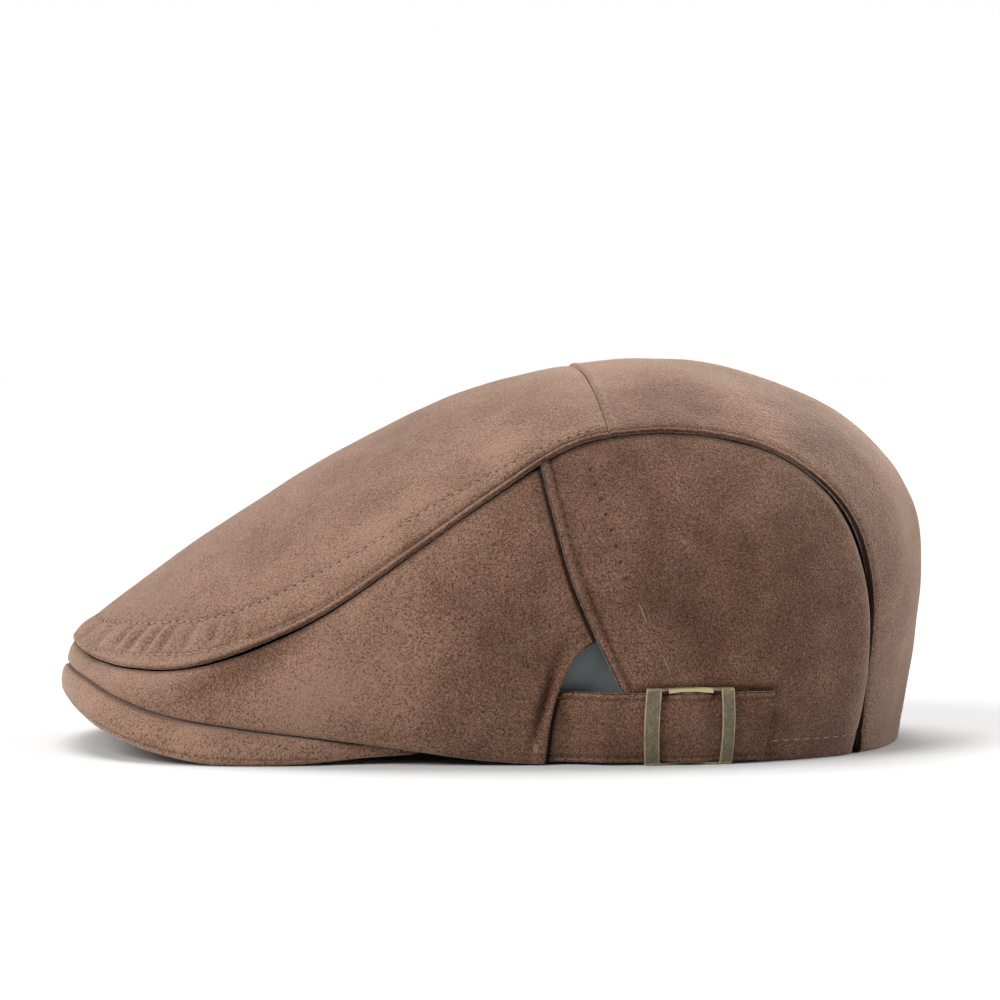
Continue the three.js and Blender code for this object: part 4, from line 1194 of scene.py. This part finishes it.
class StrapFit:
    """Where the strap and the buckle lie along the wall, in millimetres."""

    def __init__(self, form, sizes):
        self.notch_x = NOTCH_LINE[-1][0] * form.half_length
        self.panel_x = 0.203 * form.half_length
        self.start = self.notch_x - 8
        self.end = self.start + 77.4
        self.buckle_x = self.start + 50.7
        self.low = 0.8
        self.high = 1.8 + sizes.strap_width / MM
        self.buckle_low = 0.05
        self.buckle_high = self.high + 1.7
        self.thickness = 1.5
        self.slant = 0.13
        self.buckle_half = sizes.buckle_length / MM / 2
        self.bar = 4.4
        self.metal = 1.2
        self.gap = 0.35

    def out(self, x):
        tucked = -(2 + 2 * self.gap + self.thickness)
        rise = ramp(x, self.notch_x + 4.5, self.panel_x - 1)
        over = 1 - ramp(np.abs(x - self.buckle_x), 2.3, self.buckle_half - self.bar)
        return lerp(tucked, self.gap, rise) + over * (self.gap + self.metal)

    @property
    def front(self):
        return self.gap + self.thickness + self.gap


class FLATCAP_OT_buckle(bpy.types.Operator):
    """Models the buckle: two broad bars, two thin edge bars and the hidden centre bar"""
    bl_idname = "flatcap.buckle"
    bl_label = "Buckle"

    def execute(self, context):
        form, sizes, finish = settings()
        fit = StrapFit(form, sizes)
        low, high = fit.buckle_low, fit.buckle_high
        middle = (low + high) / 2
        half = fit.buckle_half
        left, right = fit.buckle_x - half, fit.buckle_x + half

        def bent(x):
            away = ramp(np.abs(x - fit.buckle_x), 1.5, half - fit.bar)
            return lerp(fit.gap, fit.front, away)

        def broad(x, z):
            share = (z - middle) / (high - low) * 2
            bow = 0.55 * (1 - share ** 2)
            return np.where(x < fit.buckle_x, x - bow, x + bow)

        def front(x):
            return fit.front + 0 * x

        between = (left + 0.8, right - 0.8)
        bars = [
            self.bar(form, (left, left + fit.bar + 0.3), (low, high), front, fit.metal, 10, 24, broad),
            self.bar(form, (right - fit.bar + 0.4, right), (low, high), front, fit.metal, 10, 24, broad),
            self.bar(form, (fit.buckle_x - 1.5, fit.buckle_x + 1.5), (low + 0.4, high - 0.4),
                     lambda x: fit.gap + 0 * x, fit.metal, 2, 8),
            # Bar shades: the bottom and top edge bars are painted darker as shade, and the raised middle of
            # the top bar is painted lighter as a highlight.
            self.bar(form, between, (low, low + 0.75), bent, fit.metal, 30, 1, shade=-0.1),
            self.bar(form, between, (high - 0.95, high - 0.05), bent, fit.metal, 30, 1, shade=-0.35),
            self.bar(form, (fit.buckle_x - 6.7, fit.buckle_x + 6.9), (high - 1.6, high),
                     lambda x: bent(x) + 0.6, fit.metal, 16, 1, shade=0.3),
        ]
        bm = joined(*bars)
        add_piece("buckle_metal", bm, "brass", antique_brass(finish), "buckle")
        return {"FINISHED"}

    @staticmethod
    def bar(form, across, upright, depth_at, thick, along, up, shift=None, shade=0.0):
        """A rounded bar bent to lie along the wall."""
        bm = bmesh.new()
        worn = bm.verts.layers.float.new("worn")
        bmesh.ops.create_cube(bm, size=1)
        for axis, count in ((0, along), (2, up)):
            for k in range(1, count):
                normal = [0, 0, 0]
                normal[axis] = 1
                place = [0, 0, 0]
                place[axis] = k / count - 0.5
                geometry = bm.verts[:] + bm.edges[:] + bm.faces[:]
                bmesh.ops.bisect_plane(bm, geom=geometry, plane_co=place, plane_no=normal)
        x = np.array([lerp(*across, v.co.x + 0.5) for v in bm.verts])
        z = np.array([lerp(*upright, v.co.z + 0.5) for v in bm.verts])
        out = np.array([0.5 - v.co.y for v in bm.verts])
        moved = shift(x, z) if shift else x
        points, _ = form.beside_wall(moved, z, depth_at(x) + out * thick)
        for vert, point in zip(bm.verts, points):
            vert.co = point * MM
        bmesh.ops.recalc_face_normals(bm, faces=bm.faces)
        sharp = [edge for edge in bm.edges if edge.calc_face_angle(0) > math.radians(50)]
        bmesh.ops.bevel(bm, geom=sharp, offset=0.3 * MM, offset_type="OFFSET", segments=3, profile=0.5,
                        affect="EDGES", material=-1)
        # Rubbed bright along the sharp edges, plus the bar's painted shade, which is a painted highlight
        # where it is positive.
        for vert in bm.verts:
            angles = [edge.calc_face_angle(0) for edge in vert.link_edges]
            vert[worn] = shade + (0.5 if max(angles) > math.radians(12) else 0.0)
        return bm


class FLATCAP_OT_stitches(bpy.types.Operator):
    """Sews the rows of stitches on the crown, the side seams, the hem and the strap"""
    bl_idname = "flatcap.stitches"
    bl_label = "Stitches"

    def execute(self, context):
        form, sizes, finish = settings()
        first = self.crown_row(form, form.first_row, CROSS_SEAM_RIB - 0.1)
        second = self.crown_row(form, form.second_row, CROSS_SEAM_RIB - 0.15)
        seams = [first, second]
        along = form.beside_seam(first[0])[1]
        seen = [tuple(part[np.abs(along) < 95] for part in first), second]
        # The first row's stitches beyond 95 mm along sit in the welt's groove and are drawn in the thread
        # darkened as painted shade.
        hidden = [tuple(part[away] for part in first) for away in (along >= 95, along <= -95)]
        rows = stitch_rows(seen, form.stitch, CROWN_STITCH)
        add_piece("crown_stitches", joined(*rows), "suede", thread(finish))
        sides = [self.side_row(form, side) for side in (-1, 1)]
        hems = [self.hem_row(form, side) for side in (-1, 1)] + [self.back_hem_row(form)]
        rows = stitch_rows(hems, HEM_PITCH, HEM_STITCH) + self.loose_threads(form) + self.bartack(form)
        add_piece("hem_stitches", joined(*rows), "suede", thread(finish, "Hem thread", 0.85))
        # The side seams', the hidden first row's and the strap's stitches sit in grooves; their thread is
        # darkened as painted shade.
        rows = stitch_rows(sides + hidden, form.stitch, SIDE_STITCH)
        rows += stitch_rows(self.strap_rows(form, sizes), STRAP_PITCH, STRAP_STITCH)
        add_piece("side_stitches", joined(*rows), "suede", thread(finish, "Thread in shade", 0.3))
        # Dark spots at the needle holes: painted shade inside the holes.
        hole_shade = stitch_rows(seams, form.stitch, CROWN_HOLE, form.stitch / 2)
        hole_shade += stitch_rows(sides, form.stitch, SIDE_HOLE, form.stitch / 2)
        hole_shade += stitch_rows([self.hole_row(form)], LARGE_HOLE_PITCH, LARGE_HOLE)
        add_piece("needle_hole_shade", joined(*hole_shade), "suede", thread(finish, "Needle hole shade", 0.11))
        return {"FINISHED"}

    @staticmethod
    def crown_row(form, distance, last):
        u, v = form.seam_offset(distance, last)
        return form.crown_cloth(u, v)[0], form.top_facing(u, v)

    @staticmethod
    def side_row(form, side):
        t = np.linspace(0.3, 0.985, 90)
        u = form.rear_edge(t)
        step = 0.1
        away = SIDE_ROW_DISTANCE / np.linalg.norm(form.wall(u + step, t) - form.wall(u, t), axis=-1) * step
        u = side * (u + away)
        return form.rear_cloth(u, t)[0], form.wall_facing(u, t)

    @staticmethod
    def hem_row(form, side):
        u = np.linspace(11.9 if side > 0 else 11.3, BACK_RIB - 0.6, 120)
        marks = np.linspace(0, 0.6, 20)
        t = np.array([np.interp(HEM_DISTANCE, run_along(form.wall(np.full(20, at), marks)), marks)
                      for at in u])
        return form.rear_cloth(side * u, t)[0], form.wall_facing(side * u, t)

    @staticmethod
    def back_hem_row(form):
        v = np.linspace(-0.95, 0.95, 160)
        marks = np.linspace(BACK_RIB, BACK_RIB - 1, 20)
        u = np.array([np.interp(HEM_DISTANCE, run_along(form.top(marks, np.full(20, at))), marks)
                      for at in v])
        return form.crown_cloth(u, v)[0], form.top_facing(u, v)

    @staticmethod
    def loose_threads(form):
        """Two longer stitches left at the lower end of the row of needle holes."""
        rows = []
        for low, high in LOOSE_THREADS:
            ends = np.array([low, high]) * (form.half_length, form.height)
            line = lerp(ends[0], ends[1], np.linspace(0, 1, 8)[:, None])
            u, t = form.find_on_wall(line[:, 0], line[:, 1])
            long = np.linalg.norm(ends[1] - ends[0])
            size = (long * 0.95, 0.26, 0.1, 0.06)
            rows.append(stitch_row(form.rear_cloth(u, t)[0], form.wall_facing(u, t), long, size))
        return rows

    @staticmethod
    def bartack(form):
        """The short upright bar of thread that secures the notch's lower corner."""
        x = np.full(8, BARTACK[0] * form.half_length)
        z = np.linspace(BARTACK[1], BARTACK[2], 8) * form.height
        u, t = form.find_on_wall(x, z)
        line, facing = form.band_cloth(u, t)[0], form.wall_facing(u, t)
        strands = [(line + np.array([shift, 0, 0]), facing) for shift in (-0.45, 0, 0.45)]
        return stitch_rows(strands, 4.0, BARTACK_STITCH)

    @staticmethod
    def strap_rows(form, sizes):
        fit = StrapFit(form, sizes)
        lines = []
        x = np.linspace(fit.notch_x + 2, fit.end - STRAP_END_DISTANCES[0], 120)
        for z in (fit.low + STRAP_ROW_DISTANCE, fit.high - STRAP_ROW_DISTANCE):
            lines.append(form.beside_wall(x, np.full_like(x, z), fit.out(x) + fit.thickness - 0.34))
        z = np.linspace(fit.low + 2.2, fit.high - 2.2, 30)
        for back in STRAP_END_DISTANCES:
            x = fit.end - back - fit.slant * (fit.high - z)
            lines.append(form.beside_wall(x, z, fit.out(x) + fit.thickness - 0.14))
        return lines

    @staticmethod
    def hole_row(form):
        line = smooth_line([(x * form.half_length, z * form.height) for x, z in HOLE_ROW_LINE], 80)
        u, t = form.find_on_wall(line[:, 0], line[:, 1])
        return form.rear_cloth(u, t)[0], form.wall_facing(u, t)


class FLATCAP_OT_stage(bpy.types.Operator):
    """Sets the pale floor, the soft studio lights and the camera"""
    bl_idname = "flatcap.stage"
    bl_label = "Stage"

    def execute(self, context):
        bm = bmesh.new()
        bmesh.ops.create_grid(bm, x_segments=1, y_segments=1, size=6)
        mesh = bpy.data.meshes.new("floor")
        bm.to_mesh(mesh)
        bm.free()
        floor = bpy.data.objects.new("floor", mesh)
        context.collection.objects.link(floor)
        material, shader = new_material("Pale floor")[:2]
        shader.inputs["Base Color"].default_value = (0.72, 0.72, 0.72, 1)
        shader.inputs["Roughness"].default_value = 0.8
        shader.inputs["Specular IOR Level"].default_value = 0.05
        mesh.materials.append(material)
        self.light("top light", (-0.15, 0.45, 1.0), 2.4, 40)
        self.light("front light", (-0.85, -0.58, 0.72), 2.45, 35)
        self.light("back light", (0.8, 0.35, 0.5), 1.5, 40)
        self.surroundings(context)
        context.scene.view_settings.view_transform = "Standard"
        self.camera(context)
        return {"FINISHED"}

    @staticmethod
    def surroundings(context):
        """White to the camera, and a weaker fill light on the cap."""
        world = bpy.data.worlds.new("Studio")
        world.use_nodes = True
        nodes, links = world.node_tree.nodes, world.node_tree.links
        path = nodes.new("ShaderNodeLightPath")
        strength = nodes.new("ShaderNodeMath")
        strength.operation = "MULTIPLY_ADD"
        strength.inputs[1].default_value = 0.7
        strength.inputs[2].default_value = 0.3
        links.new(path.outputs["Is Camera Ray"], strength.inputs[0])
        nodes["Background"].inputs["Color"].default_value = (1, 1, 1, 1)
        links.new(strength.outputs[0], nodes["Background"].inputs["Strength"])
        context.scene.world = world

    @staticmethod
    def light(name, source, strength, spread):
        lamp = bpy.data.lights.new(name, "SUN")
        lamp.energy = strength
        lamp.angle = math.radians(spread)
        light = bpy.data.objects.new(name, lamp)
        light.rotation_euler = (-Vector(source)).to_track_quat("-Z", "Y").to_euler()
        bpy.context.collection.objects.link(light)

    @staticmethod
    def camera(context):
        turn, tilt, distance = math.radians(-6.0), math.radians(2.6), 1.4
        aim = Vector((0.0019, 0.0, 0.0765))
        away = Vector((math.sin(turn) * math.cos(tilt), -math.cos(turn) * math.cos(tilt), math.sin(tilt)))
        lens = bpy.data.cameras.new("camera")
        lens.lens = 157.25
        lens.sensor_width = 36
        lens.clip_end = 50
        camera = bpy.data.objects.new("camera", lens)
        camera.location = aim + away * distance
        camera.rotation_euler = (-away).to_track_quat("-Z", "Y").to_euler()
        context.collection.objects.link(camera)
        context.scene.camera = camera


class FLATCAP_PT_panel(bpy.types.Panel):
    bl_idname = "FLATCAP_PT_panel"
    bl_label = "Flat Cap"
    bl_space_type = "VIEW_3D"
    bl_region_type = "UI"
    bl_category = "Flat Cap"

    def draw(self, context):
        for group in (context.scene.flat_cap_sizes, context.scene.flat_cap_finish):
            for name in group.bl_rna.properties.keys():
                if name not in ("rna_type", "name"):
                    self.layout.prop(group, name)
        for operator in OPERATORS:
            self.layout.operator(operator.bl_idname)


OPERATORS = (
    FLATCAP_OT_stage, FLATCAP_OT_crown, FLATCAP_OT_band, FLATCAP_OT_rear_sides, FLATCAP_OT_peak,
    FLATCAP_OT_lining, FLATCAP_OT_strap, FLATCAP_OT_buckle, FLATCAP_OT_stitches,
)
CLASSES = (FlatCapSizes, FlatCapFinish, *OPERATORS, FLATCAP_PT_panel)


def register():
    for cls in CLASSES:
        bpy.utils.register_class(cls)
    bpy.types.Scene.flat_cap_sizes = PointerProperty(type=FlatCapSizes)
    bpy.types.Scene.flat_cap_finish = PointerProperty(type=FlatCapFinish)


def unregister():
    del bpy.types.Scene.flat_cap_finish
    del bpy.types.Scene.flat_cap_sizes
    for cls in reversed(CLASSES):
        bpy.utils.unregister_class(cls)


def main():
    register()
    bpy.ops.flatcap.stage()
    bpy.ops.flatcap.crown()
    bpy.ops.flatcap.band()
    bpy.ops.flatcap.rear_sides()
    bpy.ops.flatcap.peak()
    bpy.ops.flatcap.lining()
    bpy.ops.flatcap.strap()
    bpy.ops.flatcap.buckle()
    bpy.ops.flatcap.stitches()


if __name__ == "__main__":
    main()
